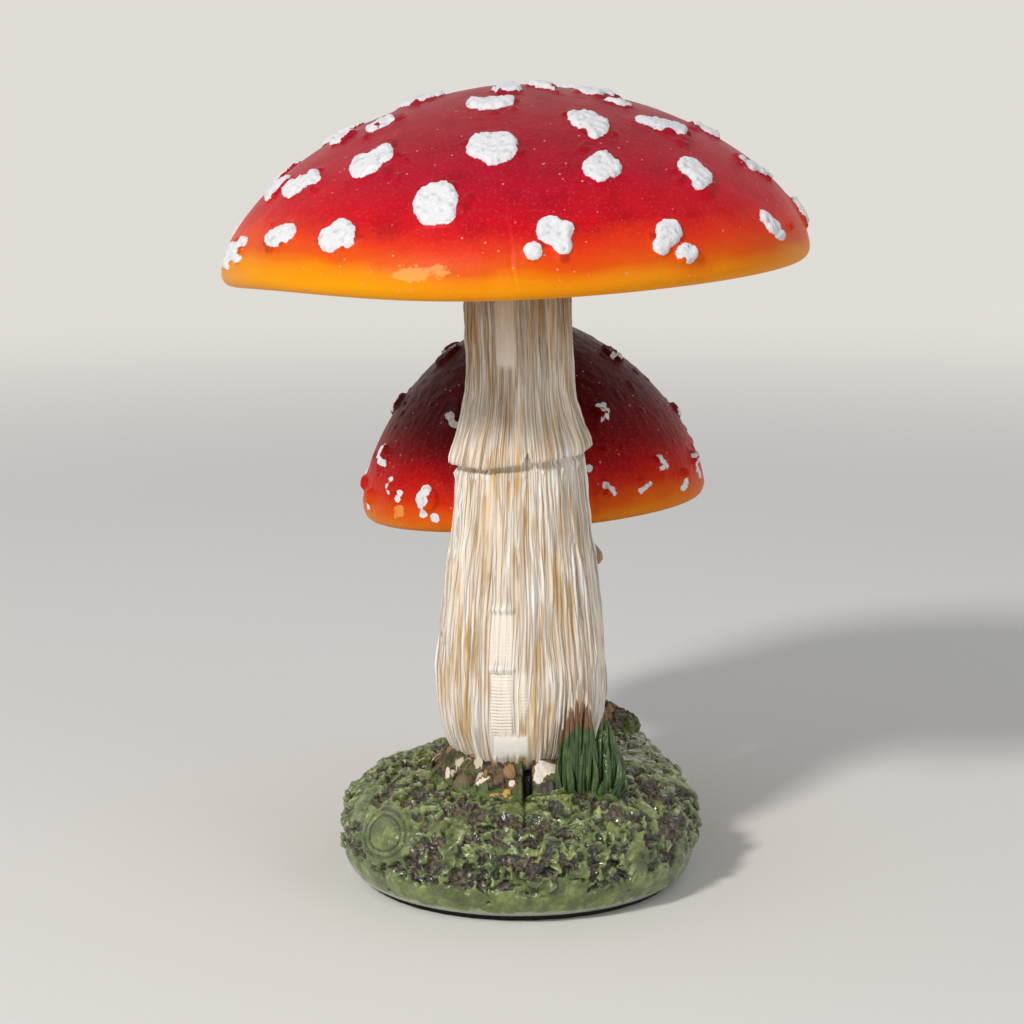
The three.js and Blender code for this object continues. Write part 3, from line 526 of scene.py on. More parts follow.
# %% Dabs seen at the front of the caps
TALL_BLEND, SHORT_BLEND = 0.4, 0.16
LEAST_FACING = 0.02
MOST_SLANT = 0.5
WART_REACH = 6.0
TALL_WIPED = ((385, 455, 22), (264, 282, 9))
SHORT_WIPED = ((393, 404, 3), (505, 518, 3))
SEAM, SEAM_ROWS = (506, 205), (196, 300)
TALL_TOUCHES = [
    (275.5, 240, 8.5), (284, 235, 8), (291, 231, 6.5),
    (330, 240, 10), (344, 232, 12), (348, 241, 7), (329, 246, 6),
    (292, 191, 9), (302, 185, 7), (313, 179, 8.5),
    (364, 167, 11), (374, 163, 9), (385, 154, 9), (357, 173, 6),
    (433, 206, 19), (442, 200, 16), (428, 216, 9), (446, 215, 9),
    (482, 147, 12), (495, 149, 14), (505, 148, 13), (493, 158, 8), (472, 152, 5),
    (474, 105, 7), (486, 106, 8), (498, 105, 8), (508, 102, 6),
    (372, 130, 5), (380, 126, 6.5), (389, 122, 6.5),
    (548, 241, 19), (550, 231, 14), (533, 252, 9), (563, 246, 9), (565, 230, 8),
    (672, 241, 18), (668, 233, 13), (686, 254, 10), (676, 258, 7), (660, 248, 8),
    (584, 93, 6), (595, 95, 7), (606, 95, 8),
    (578, 120, 8), (588, 123, 11), (599, 128, 9.5), (594, 134, 6), (572, 118, 4),
    (592, 169, 10), (602, 165, 12), (613, 170, 8), (601, 176, 7),
    (645, 123, 4.5), (655, 125, 7), (667, 128, 9), (678, 131, 8.5), (638, 121, 3),
    (684, 166, 7), (692, 170, 9), (702, 179, 9), (697, 186, 5),
    (765, 219, 5), (771, 227, 6.5), (779, 236, 5), (761, 214, 3),
    (740, 161, 3.5), (750, 167, 6), (760, 173, 5.5), (768, 178, 3),
    (235, 252, 8.5), (229, 264, 5), (245, 242, 5), (240, 260, 4),
]
TALL_LUMPS = [
    (463, 208, 6.5), (470, 197, 4.5), (388, 172, 6), (398, 178, 4.5), (405, 158, 4), (584, 148, 5),
    (604, 177, 6.5), (708, 190, 8), (682, 180, 5), (684, 140, 8.5), (692, 128, 6), (313, 189, 4.5),
    (399, 119, 5), (366, 138, 5), (585, 131, 4), (612, 133, 4), (564, 258, 5), (790, 226, 4),
]
SHORT_TOUCHES = [
    (609, 349, 3.2), (614, 353, 4.2), (617, 359, 3.6), (611, 358, 2.4),
    (598, 406, 2.4), (604, 405, 2.6), (607, 411, 2.6), (601, 412, 2), (606, 418, 2.6), (601, 421, 2.2),
    (657, 457, 2), (659, 462, 2.4), (664, 466, 3.4), (660, 469, 2),
    (605, 486, 3.6), (611, 490, 3.8), (608, 497, 3.4), (614, 494, 2.4),
    (641, 491, 2.6), (645, 487, 2.8), (650, 483, 2),
    (587, 470, 3.4), (683, 488, 2.6), (686, 481, 2.2), (685, 485, 2.2),
    (692, 456, 2), (695, 462, 2.2), (698, 468, 3.8), (701, 475, 3.2), (706, 480, 3.4),
    (677, 408, 3.4), (679, 415, 2.8),
    (385, 448, 3.6), (382, 455, 4.4), (384, 463, 3.4),
    (391, 479, 2.2), (388, 486, 2.8), (391, 493, 2), (400, 493, 2.8), (398, 499, 3.2), (394, 505, 2.2),
    (427, 491, 6), (424, 501, 6.5), (430, 509, 6), (424, 514, 4), (435, 518, 4.2), (421, 494, 4),
    (368, 497, 2.8), (368, 505, 4.4), (452, 418, 4.4), (455, 425, 3.4),
    (450, 352, 4.4), (444, 357, 3.6), (456, 348, 3.2), (396, 402, 3.6),
]


def touched(world, towards, touches, blend):
    """How far inside the touches each point is and how near to one of them, in millimetres, and how
    much it faces the camera."""
    column, row, size = seen(world)
    facing = np.einsum("ij,ij->i", unit(EYE - world), towards)
    hidden = np.where(facing > LEAST_FACING, 0, 99)
    total = np.zeros(len(world))
    near = np.full(len(world), 99.0)
    for x, y, radius in touches:
        across = np.hypot(column - x, row - y)
        far = np.linalg.norm(world - world[np.argmin(across + hidden)], axis=1)
        inside = radius * size - np.maximum(across * size, MOST_SLANT * far)
        total += np.exp(inside.clip(-FAR, FAR) / blend)
        near = np.minimum(near, far)
    return blend * np.log(total + 1e-9), near, facing


def wiped_patch(world, facing, columns, rows):
    """Where a thumb wiped the paint, seen between these columns and rows, each with its softness."""
    column, row, _ = seen(world)
    return within(column, *columns) * within(row, *rows) * (facing > 0)


print(len(TALL_TOUCHES), "touches on the tall cap,", len(SHORT_TOUCHES), "on the short one")

# %% [markdown]
# Relief and paint part ways here. The relief is the wart: steep sides, a crumbly top, and a foot
# that spreads a little. The paint is what somebody dabbed on it: on the tall cap nearly the whole
# wart, on the short cap only a hook or a patch of it, so that dark red lumps show beside the white.
# The fact "paint" is how far inside the dab a point is. The fact "rise" is the height above the rim,
# which the airbrushed colours follow.

# %% Make a cap
CRAG_COARSE, CRAG_FINE, CRAG_PIT = 1.5, 0.8, 0.95
LUMP_SHARE = 0.55


def crags(points, seed):
    """Height of crumbly resin from about 0 to 1.3."""
    coarse = cells(points, CRAG_COARSE, seed)[2] - 0.5
    fine = cells(points, CRAG_FINE, seed + 1)[2] - 0.5
    pits = ease(-noise(points, CRAG_PIT, seed + 2), 0.3, 0.6)
    return 0.82 + 0.1 * coarse + 0.22 * fine + 0.1 * noise(points, 0.6, seed + 3) - 0.3 * pits


def make_cap(name, cap, sculpted):
    """A cap with the relief and paint that its sculptor gives."""
    points, faces, on_dome = cap_surface(cap)
    out = normals(points, faces)
    origin, axes = cap_place(cap)
    seed = cap["seed"]
    warts = inside_warts(cap, points, out, faces, on_dome)
    world, towards = points @ axes + origin, out @ axes
    warts, bare, paint, skin, wiped = sculpted(points, world, towards, warts, seed)
    fade = on_dome * ease(points[:, 2], -0.2, 1.5)
    body = ease(warts, -0.22, 0.36)
    lump = ease(bare, -0.4, 0.5) * (1 - body)
    crag = crags(points, seed + 5)
    away, angle = polar(points)
    foot = 0.2 * ease(warts + 0.6 * noise(points, 3.0, seed + 9), -2.0, 0.2)
    swell = 0.14 * noise(points, 13, seed + 10) + 0.04 * noise(points, 3.5, seed + 11)
    risen = cap["wart_height"] * crag * (body + LUMP_SHARE * lump)
    lift = (swell + skin) * (1 - body) + foot + risen
    facts = {
        "paint": np.where(fade > 0.5, paint, -3),
        "rise": points[:, 2] - rim_rise(cap, points),
        "left": bell(off_bearing(angle, LIT_SIDE_BEARING), LIT_SIDE_SPREAD),
        "lump": lump,
        "wiped": wiped,
        "crag": crag,
        "under": ~on_dome & (away < cap["radius"] - cap["lip"] + 0.6),
        "gill": np.where(on_dome, 0, np.clip(points[:, 2] / cap["gill_depth"], 0, 1)),
    }
    points = points + out * (lift * fade)[:, None]
    return piece(name, points @ axes + origin, faces, cap["node"], facts)


def tall_sculpting(points, world, towards, warts, seed):
    """Warts and lumps of the tall cap, its paint, and the crease that the mould left at the front."""
    ragged = 0.12 * noise(points, 2.4, seed) + 0.26 * rough(points, 0.9, 2, seed + 3) - 0.1
    dabs, near, facing = touched(world, towards, TALL_TOUCHES, TALL_BLEND)
    uneven = 0.3 * noise(points, 2.4, seed + 6) + 0.3 * noise(points, 1.2, seed + 7)
    warts = np.where(near < WART_REACH, dabs, warts + uneven) + ragged
    lumps = touched(world, towards, TALL_LUMPS, TALL_BLEND)[0] + 0.6 * rough(points, 1.4, 2, seed + 15)
    rim_lumps = warts + 1.4 * ease(noise(points, 3.4, seed + 16), 0.3, 0.6) - 0.1
    rim_lumps = rim_lumps + 0.4 * rough(points, 1.3, 2, seed + 17)
    missed = 0.9 * ease(noise(points, 3.2, seed + 20), 0.5, 0.85)
    column, row, size = seen(world)
    across = (column - SEAM[0] - 0.13 * (row - SEAM[1]) - np.sin(row / 9)) * size
    seam = within(row, *SEAM_ROWS, 12) * (facing > 0)
    crease = seam * (0.1 * bell(across - 0.4, 0.4) - 0.14 * bell(across + 0.2, 0.3))
    wiped = wiped_patch(world, facing, *TALL_WIPED)
    return warts, np.maximum(lumps, rim_lumps), warts + 0.16 - missed, crease, wiped


def short_sculpting(points, world, towards, warts, seed):
    """Lumps of the short cap, its scanty hooks of white, and its wrinkled skin."""
    ragged = 0.5 * noise(points, 2.2, seed) + 0.3 * noise(points, 1, seed + 1)
    warts = warts + ragged
    dabs, _, facing = touched(world, towards, SHORT_TOUCHES, SHORT_BLEND)
    missed = 1.5 * ease(noise(points, 3.2, seed + 22), -0.05, 0.45)
    dabs = dabs + 0.06 + 0.3 * rough(points, 0.9, 2, seed + 21)
    front = ease(facing, -0.1, 0.15)
    paint = dabs * front + (warts - missed) * (1 - front)
    wiped = wiped_patch(world, facing, *SHORT_WIPED)
    away, angle = polar(points)
    lines = noise(around(1, angle, points[:, 2] / 60), 0.035, seed + 23) * ease(away, 14, 28)
    puckers = noise(points, (2.2, 2.2, 1.4), seed + 24) * (1 - ease(away, 22, 32))
    dots = ease(0.3 - cells(points, 3.4, seed + 25)[0], 0, 0.1)
    dots = dots * ease(noise(points, 8, seed + 26), 0, 0.3)
    return warts, 0 * warts - FAR, paint, 0.09 * lines + 0.12 * puckers + 0.25 * dots, wiped


tall_cap = make_cap("tall_warted_cap", TALL_CAP, tall_sculpting)
short_cap = make_cap("short_warted_cap", SHORT_CAP, short_sculpting)

# %% [markdown]
# A stem is a lathe form that somebody squeezed: a spigot in the base, a swollen foot, a tapering
# shaft, the skirt that hangs over its top, the neck, and a tenon in the cap. Its rings are carried
# along a bent centre line. That line is found from the two rods again: it leaves along the foot rod
# and arrives along the cap rod, so its bend is where the two directions meet.

# %% Sizes of the stems
STEM_SIZES = {
    "node": ("tall_stem", "short_stem"),
    "foot_dowel": ("tall_foot_dowel", "short_foot_dowel"),
    "foot_dowel_centre": (-4.0, -5.5),
    "cap": (TALL_CAP, SHORT_CAP),
    "spigot": (9, 6.5),
    "spigot_depth": (6, 5),
    "foot": (16.3, 10.2),
    "foot_height": (18, 12.5),
    "bulb": (3.6, 2.8),
    "waist": (12, 8.4),
    "skirt_height": (62.3, 34.6),
    "skirt": (13.5, 12.9),
    "skirt_edge": (0.9, 1.5),
    "skirt_fall": (13.5, 8.5),
    "skirt_tilt": (6, -4),
    "flutes": (84, 50),
    "flute_depth": (0.7, 0.6),
    "segments": (570, 340),
    "seed": (30, 50),
}
TALL_STEM, SHORT_STEM = ({size: pair[i] for size, pair in STEM_SIZES.items()} for i in range(2))
RING_STEP = 0.62
LINE_STEPS = 400


def centre_line(stem):
    """Seat, bend and shoulder of a stem's centre line."""
    middle, along = rod(stem["foot_dowel"])
    seat = middle - along * stem["foot_dowel_centre"]
    top, axes = cap_place(stem["cap"])
    shoulder = top - axes[2] * GLUE_GAP
    sides = np.stack([along, axes[2]], axis=1)
    lengths = np.linalg.lstsq(sides, shoulder - seat, rcond=None)[0]
    return seat, seat + along * lengths[0], shoulder


def fine_line(stem):
    """The centre line as a fine path."""
    corners = centre_line(stem)
    return np.concatenate([[corners[0]], bezier(corners, LINE_STEPS)])


def carried(stem, away, angle, height):
    """Points at a distance from the centre line, an angle round it and a height along it."""
    line = fine_line(stem)
    along = lengths_along(line)
    ahead = unit(np.gradient(line, axis=0))
    at = np.clip(height, 0, along[-1])
    up = unit(picked(ahead, along, at))
    place = picked(line, along, at) + (height - at)[:, None] * up
    axes = upright(up)
    flat = around(away, angle, 0)
    return place + flat[:, :1] * axes[:, 0] + flat[:, 1:2] * axes[:, 1]


print("tall line:", [np.round(p, 2).tolist() for p in centre_line(TALL_STEM)])

# %% Outline of a stem


def stem_outline(stem):
    """Distance from the centre line and height of each ring, from the spigot to the tenon."""
    low = stem["skirt_height"]
    high = low + stem["skirt_edge"]
    foot, waist, skirt, neck = stem["foot"], stem["waist"], stem["skirt"], stem["cap"]["neck"]
    rise = stem["foot_height"] - stem["bulb"]
    shaft = low - 2 - stem["foot_height"]
    shoulder = lengths_along(fine_line(stem))[-1]
    path = [(stem["spigot"], stem["bulb"])]
    swell = (stem["spigot"] + (foot - stem["spigot"]) * 0.6, stem["bulb"])
    belly = (foot, stem["bulb"] + rise * 0.45)
    path += list(bezier([path[-1], swell, belly, (foot, stem["foot_height"])], 30))
    taper = (foot, stem["foot_height"] + shaft * 0.25)
    path += list(bezier([path[-1], taper, (waist + 0.8, low - shaft * 0.22), (waist, low - 2)], 60))
    path += [(waist - 0.1, low - 1.2), (waist - 0.5, low - 0.9), (waist - 0.5, low + 0.2)]
    path += [(skirt - 0.7, low + 0.05), (skirt, low + 0.25)]
    drape = (skirt - 0.8, high + stem["skirt_fall"] * 0.3)
    tuck = (neck + 0.5, high + stem["skirt_fall"] * 0.55)
    path += list(
        bezier([(skirt + 0.1, high), drape, tuck, (neck + 0.2, high + stem["skirt_fall"])], 30)
    )
    path += [(neck, shoulder)]
    spigot = [(stem["spigot"], -stem["spigot_depth"])]
    tenon = stem["cap"]["tenon"]
    top = [(tenon, shoulder), (tenon, shoulder + stem["cap"]["tenon_length"])]
    steps = int(round(lengths_along(np.array(path))[-1] / RING_STEP))
    return np.concatenate([spigot, evenly(path, steps + 1), top])


print("tall stem rings:", len(stem_outline(TALL_STEM)))

# %% [markdown]
# The flutes of the real stem were drawn into the pattern with a tool: long, nearly parallel, now
# and then merging, with a crisp thin crest. Noise that is stretched along the stem turns into
# streaks, and the line where such noise passes through zero is thin and never quite straight, so
# one minus its size gives a crest there. A regular comb underneath keeps the crests apart. The fact
# "groove" keeps how deep in a flute each point is, for the ochre wash.

# %% Flutes and skirt


def crest_lines(ring, across, along, seed):
    """Thin crests, 1 on the line, that run up the stem."""
    return np.clip(1 - np.abs(noise(ring, (across, across, along), seed)) * 2.4, 0, 1)


def flute_relief(stem, angle, height):
    """Flutes as 0 in a groove and 1 on a crest, and the round pattern space they were drawn in."""
    seed = stem["seed"]
    wander = 0.45 * noise(around(1, angle, height / 30), 0.45, seed)
    turned = angle + wander / stem["foot"]
    ring = around(stem["foot"], turned, height)
    comb = 0.5 + 0.5 * np.cos(stem["flutes"] * turned + 1.6 * noise(ring, (5, 5, 30), seed + 1))
    wide = crest_lines(ring, 2.2, 40, seed + 2) ** 1.5
    thin = crest_lines(ring, 1.05, 20, seed + 3) ** 1.3
    hair = noise(ring, (0.55, 0.55, 8), seed + 4)
    share = ease(noise(ring, (4, 4, 18), seed + 5), -0.5, 0.4)
    crest = 0.14 * comb + 0.5 * wide * share + 0.42 * thin + 0.14 * hair
    return np.clip(crest / 0.85, 0, 1.15), ring


def skirt_droop(stem, away, angle, height):
    """How far the skirt hangs lower or higher here than its even outline."""
    above = height - stem["skirt_height"]
    tilt = math.tan(math.radians(stem["skirt_tilt"])) * away * np.cos(angle)
    ring = around(8, angle, 0)
    edge = bell(np.maximum(above, 0), 2.2) * ease(away, stem["waist"] - 0.4, stem["skirt"] - 0.4)
    waves = 0.5 * noise(ring, 5, stem["seed"] + 8) + 0.25 * noise(ring, 1.6, stem["seed"] + 9)
    return (tilt * bell(above, stem["skirt_fall"] * 0.8) + waves * edge) * (away > stem["cap"]["tenon"])


print("flute depth:", TALL_STEM["flute_depth"], "mm on", TALL_STEM["flutes"], "flutes")

# %% [markdown]
# At the front of the tall stem the sculptor pressed the wax flat in places. Each patch below is a
# rectangle in millimetres, across and up as seen from the front, with how smooth it is: a band at
# the foot, a strip with a ladder of fine steps, two little ledges, and a strip on the neck. The
# steps are finer than the mesh, so the fact "ladder" lets the paint's bump draw them.

# %% Make a stem
PRESSED = [
    (-5.3, 1.3, 26.8, 31.2, 1.0),
    (-5.7, -1.7, 31.5, 43.2, 0.75),
    (-0.1, 1.1, 35.5, 43.5, 0.6),
    (-5.6, -1.6, 45.2, 54.4, 0.55),
    (-4.9, -1.3, 99.5, 113.0, 0.8),
]
LEDGES = [(-5.9, -1.4, 43.7, 44.7), (-5.9, -1.4, 54.7, 55.7)]
LADDER = (31, 50)
NOTCH_X, NOTCH_WIDTH, NOTCH_DEPTH = 1.0, 0.55, 2.1


def pressed_flat(points):
    """How smooth the front of the tall stem is at each point, how strong its ladder, and its ledges."""
    x, z = points[:, 0], points[:, 2]
    front = ease(-points[:, 1], 3, 6)
    smooth = np.zeros(len(points))
    for left, right, low, high, share in PRESSED:
        smooth = np.maximum(smooth, share * within(x, left, right) * within(z, low, high, 0.8))
    ledge = sum(within(x, a, b, 0.3) * within(z, c, d, 0.3) for a, b, c, d in LEDGES)
    ladder = within(z, *LADDER) * (1 - 0.6 * ease(z, 43, 45)) * (smooth > 0.3)
    ladder = ladder * ease(noise(points, 3, 37), -0.6, 0.4)
    return smooth * front, ladder * front, ledge * front


def make_stem(name, stem):
    """A fluted stem with its skirt, closed at both ends."""
    outline = stem_outline(stem)
    count = stem["segments"]
    angle = np.tile(spokes(count), len(outline))
    away = np.repeat(outline[:, 0], count)
    height = np.repeat(outline[:, 1], count)
    shoulder = outline[-3, 1]
    seed = stem["seed"]
    skin = ease(height, stem["bulb"], stem["bulb"] + 2.4)
    skin = skin * (1 - ease(height, shoulder - 0.4, shoulder - 0.05))
    crest, pattern = flute_relief(stem, angle, height)
    smooth, ladder, ledge = 0 * away, 0 * away, 0 * away
    above = height - stem["skirt_height"]
    droop = skirt_droop(stem, away, angle, height)
    if stem is TALL_STEM:
        plain = carried(stem, away, angle, height)
        smooth, ladder, ledge = pressed_flat(plain)
        notch = bell(plain[:, 0] - NOTCH_X, NOTCH_WIDTH) * (plain[:, 1] < 0)
        notch = notch * bell(np.maximum(above, 0), 1.6) * (away > stem["waist"])
        droop = droop + NOTCH_DEPTH * notch * (above > -0.5)
    crest = crest * (1 - smooth) + 0.8 * smooth
    ring = around(away, angle, height)
    depth = stem["flute_depth"] * (1 - 0.55 * bell(above - 0.1, 0.9))
    uneven = 0.35 * noise(ring, 14, seed + 10) + 0.12 * noise(ring, 4, seed + 11) * (1 - smooth)
    torn = bell(above + 1.9, 0.7) * ease(noise(ring, (1.1, 1.1, 3.0), seed + 12), 0, 0.5)
    lift = depth * (crest - 0.8) + uneven + 0.8 * ledge + 0.5 * torn
    ends = np.zeros(2)
    facts = {
        "groove": np.clip(1 - crest, 0, 1) * skin,
        "height": height,
        "pattern_x": pattern[:, 0],
        "pattern_y": pattern[:, 1],
        "smooth": smooth,
        "ladder": ladder,
        # the ledges join the torn rim in this fact, so the paint whitens both, the ledges as painted
        # highlight
        "torn": np.maximum(torn, ledge),
    }
    facts = {fact: np.append(values, ends) for fact, values in facts.items()}
    facts["height"][-2:] = outline[0, 1], outline[-1, 1]
    grown, turned = np.append(away + skin * lift, ends), np.append(angle, ends)
    points = carried(stem, grown, turned, facts["height"] + np.append(droop, ends))
    return piece(name, points, tube(count, len(outline)), stem["node"], facts)


tall_stem = make_stem("tall_fluted_stem", TALL_STEM)
short_stem = make_stem("short_fluted_stem", SHORT_STEM)

# %% [markdown]
# The mound is one bun-shaped casting whose plan wraps both stems. Its form, its rolling humps and
# its clumps repeat the few sizes of the CAD base. The moss is a finer layer on top: crumbs of green
# a millimetre or two across, and between them ragged pits down to dark, gritty earth. A smooth belt
# stays round the bottom, where the mould was filled, and round the bare boss at the front left.

# %% Sizes of the mound
UNDERSIDE = 1.1
MOUND_HEIGHT = 20.8
MOUND_WAIST = 8.4
MOUND_SHOULDER = 3
MOUND_TUCK = 4.2
FRONT_RADIUS = 33.6
REAR_MARGIN = 5
REAR_FALL = 3
MIDDLE_SHARE = 0.36
HUMP, HUMP_SIZE = 0.7, 15
CLUMP, CLUMP_SIZE = 0.75, 6.4
BOSS_RADIUS = 4.3
BOSS_HEIGHT = 13.3
BOSS_BEARING = math.radians(221)
BOSS_SEEN, BOSS_HALF = (384.5, 833.5), (19.5, 22)
TALL_COLLAR = 18.6
SHORT_COLLAR = 14
MOUND_RINGS = 178
TOP_SAMPLES, SIDE_SAMPLES = 400, 60
HOLLOW_DEPTH = 0.9
BANK, BANK_X, BANK_Y = 1.7, (5, 18), (-23, -15)
CRACK_DEPTH, CRACK_Y = 1.3, (-27, -17)

tall_seat = centre_line(TALL_STEM)[0]
short_seat = centre_line(SHORT_STEM)[0]
front_lobe = np.array([-0.4, 0])
rear_lobe = short_seat[:2] - [2.4, 2.8]
rear_radius = SHORT_COLLAR + REAR_MARGIN
middle = front_lobe + (rear_lobe - front_lobe) * MIDDLE_SHARE


def mound_reach(angle):
    """Distance from the mound's middle to its outline: the widest of circles between the lobes."""
    towards = np.stack([np.cos(angle), np.sin(angle)], axis=1)
    reach = np.zeros(len(angle))
    for share in np.linspace(0, 1, 33):
        centre = front_lobe + (rear_lobe - front_lobe) * share - middle
        radius = FRONT_RADIUS + (rear_radius - FRONT_RADIUS) * share
        near = towards @ centre
        inside = near**2 - centre @ centre + radius**2
        reach = np.maximum(reach, np.where(inside >= 0, near + np.sqrt(inside.clip(0)), 0))
    return reach


def mound_outline():
    """Distance from the middle over the front lobe and height, from the top to the underside."""
    top = bulge(FRONT_RADIUS, MOUND_WAIST, MOUND_HEIGHT - MOUND_WAIST, MOUND_SHOULDER, TOP_SAMPLES)
    low = np.linspace(math.pi / 2, 0, SIDE_SAMPLES)[1:]
    side_away = FRONT_RADIUS - MOUND_TUCK + MOUND_TUCK * np.sin(low)
    side_height = MOUND_WAIST * (1 - np.cos(low))
    return np.concatenate([top, np.stack([side_away, side_height], axis=1)])


def mound_form():
    """Points and triangles of the mound without moss, and each point's height and outward share."""
    share, angle, faces = disc(MOUND_RINGS)
    outline = mound_outline()
    along = lengths_along(outline)
    at = share * along[-1]
    radius, height = picked(outline, along, at).T
    reach = mound_reach(angle)
    waist = along[np.argmax(outline[:, 0])]
    away = np.where(at > waist, reach - FRONT_RADIUS + radius, radius / FRONT_RADIUS * reach)
    points = around(away, angle, height) + [*middle, 0]
    fall = REAR_FALL * ease(points[:, 1], TALL_COLLAR / 2, rear_lobe[1])
    points[:, 2] -= fall * np.maximum(height - MOUND_WAIST, 0) / (MOUND_HEIGHT - MOUND_WAIST)
    sideways = np.minimum(radius / FRONT_RADIUS, 1)
    spread = around(sideways, angle, 1 - sideways)
    count = 6 * MOUND_RINGS
    centre = len(points)
    faces = np.concatenate([faces, lid(centre - count, count, centre)])
    points = np.concatenate([points, [[*middle, 0]]])
    return points, faces, np.append(height, 0), np.concatenate([spread, [[0, 0, 0]]])


def boss_place():
    """Middle of the round boss on the front lobe's side."""
    rise = (BOSS_HEIGHT - MOUND_WAIST) / (MOUND_HEIGHT - MOUND_WAIST)
    share = (1 - rise**MOUND_SHOULDER) ** (1 / MOUND_SHOULDER)
    towards = np.array([math.cos(BOSS_BEARING), math.sin(BOSS_BEARING)])
    from_middle = FRONT_RADIUS * towards - middle
    angle = math.atan2(from_middle[1], from_middle[0])
    away = share * mound_reach(np.array([angle]))[0]
    centre = middle + away * np.array([math.cos(angle), math.sin(angle)])
    return np.array([*centre, BOSS_HEIGHT])


print("mound middle:", np.round(middle, 2), "boss at", np.round(boss_place(), 1))

# %% Humps and clumps, as in the CAD base


def mound_humps(points):
    """Rolling humps of the moss."""
    x, y, z = (points * 2 * math.pi / HUMP_SIZE).T
    broad = np.sin(x + 1.1) * np.cos(0.9 * y - 0.6)
    return HUMP * (broad + 0.6 * np.sin(1.9 * x - 1.7 * y + 2.1 * z))


def mound_clumps(points):
    """Clumps of the moss: folds that cross each other and wander."""
    x, y, z = (points * 2 * math.pi / CLUMP_SIZE).T
    wander = 1.6 * np.sin(0.3 * (x + y - z))
    across = np.sin(0.9 * x + 0.4 * y + 0.25 * z + wander)
    along = np.sin(0.9 * z - 0.5 * x + 0.6 * y - wander)
    between = np.sin(0.8 * y - 0.7 * x - 0.5 * z + 0.8 * wander + 1.3)
    return CLUMP * (0.6 * across * along + 0.4 * between)


def from_boss(points):
    """Distance from the middle of the boss, whose ring looks round from the camera."""
    column, row, _ = seen(points + [0, 0, UNDERSIDE])
    (x, y), (wide, tall) = BOSS_SEEN, BOSS_HALF
    off = np.hypot((column - x) / wide, (row - y) / tall) * BOSS_RADIUS
    return np.maximum(off, 0.75 * np.linalg.norm(points - boss_place(), axis=1))


print("hump and clump at the boss:", *(f(boss_place()[None]) for f in (mound_humps, mound_clumps)))

# %% Moss on the mound
MOSS_CRUMB, MOSS_FOLD, EARTH_CRUMB = 1.4, 1.9, 0.9
BOSS_LIFT, BOSS_GROOVE = 0.45, 0.45


def moss_relief(points, height, off_boss):
    """Lift of the moss, share of bare earth, and share of smooth resin."""
    belt = 1 - ease(height + 1.6 * noise(points, 7, 91), 4.5, 6.5)
    smooth = np.maximum(belt, 1 - ease(off_boss, BOSS_RADIUS + 0.5, BOSS_RADIUS + 3))
    calm = ease(noise(points, 9, 92), 0.25, 0.5)
    smooth = np.maximum(smooth, 0.75 * calm)
    zone = noise(points, 6.5, 97)
    pits = noise(points, 2.3, 98) + 0.55 * noise(points, 1.0, 102)
    earth = ease(pits + 0.6 * zone - 0.8 * smooth, 0.1, 0.2)
    bent = shaken(points, 0.45, 1.6, (94, 104, 105))
    lumps = cells(bent, MOSS_CRUMB, 95)
    crumbs = cells(points, EARTH_CRUMB, 99)
    folds = 0.5 - np.abs(noise(bent, MOSS_FOLD, 107)) * 2.2
    bumpy = 0.6 * folds + 0.5 * (lumps[2] - 0.5) + 0.2 * noise(points, 0.8, 96)
    bumpy = bumpy - 0.4 * (1 - ease(lumps[1], 0, 0.14)) * (noise(points, 2.6, 108) > 0)
    mossy = 0.25 + bumpy * (1 - 0.92 * smooth) + 0.1 * noise(points, 3, 100)
    earthy = -0.85 + 0.7 * (crumbs[2] - 0.5) + 0.3 * noise(points, 0.8, 103)
    lift = mossy * (1 - earth) + earthy * earth
    rim = BOSS_RADIUS - 0.55
    boss = BOSS_LIFT * (1 - ease(off_boss, BOSS_RADIUS - 0.1, BOSS_RADIUS + 0.3)) - 0.1
    boss = boss - BOSS_GROOVE * bell(off_boss - rim + 0.25, 0.28)
    on_boss = 1 - ease(off_boss, BOSS_RADIUS + 0.2, BOSS_RADIUS + 0.8)
    lift = lift * (1 - on_boss) + boss * on_boss
    return lift, earth * (1 - on_boss), np.maximum(smooth, on_boss)


def make_mound():
    """The mound with its moss, its boss, and hollows for the litter."""
    points, faces, height, spread = mound_form()
    off_boss = from_boss(points)
    swell = mound_humps(points) * ease(height, 0, MOUND_WAIST)
    swell = swell * ease(off_boss, BOSS_RADIUS, 3 * BOSS_RADIUS)
    clumps = mound_clumps(points) * ease(height, MOUND_WAIST * 0.35, MOUND_WAIST)
    swell = swell + clumps * ease(off_boss, BOSS_RADIUS, 2 * BOSS_RADIUS)
    lift, earth, smooth = moss_relief(points, height, off_boss)
    points = points + spread * swell[:, None]
    points = points + normals(points, faces) * (lift * ease(height, 0.2, 2.0))[:, None]
    bank = within(points[:, 0], *BANK_X, 2) * within(points[:, 1], *BANK_Y, 2)
    points[:, 2] += BANK * bank * (height > MOUND_WAIST)
    points[:, 2] = np.maximum(points[:, 2], 0) + UNDERSIDE
    crack = bell(points[:, 0] - 0.5 - 0.2 * np.sin(points[:, 1]), 0.3)
    crack = crack * within(points[:, 1], *CRACK_Y) * (height > MOUND_WAIST)
    points[:, 2] -= CRACK_DEPTH * crack
    for seat, collar in ((tall_seat, TALL_COLLAR), (short_seat, SHORT_COLLAR)):
        far = np.hypot(points[:, 0] - seat[0], points[:, 1] - seat[1])
        ragged = far + 1.1 * noise(points, 2.6, 101) + 0.5 * noise(points, 1.1, 106)
        floor = seat[2] - HOLLOW_DEPTH + 30 * ease(ragged, collar - 2.6, collar + 4)
        sunk = (points[:, 2] > floor) & (height > MOUND_WAIST)
        points[:, 2] = np.where(sunk, floor, points[:, 2])
    facts = {
        "earth": earth,
        "smooth": smooth,
        "height": height,
        "lift": lift,
        "crack": crack,
        "boss": off_boss,
    }
    return piece("mossy_mound", points, faces, "moss_base", facts)


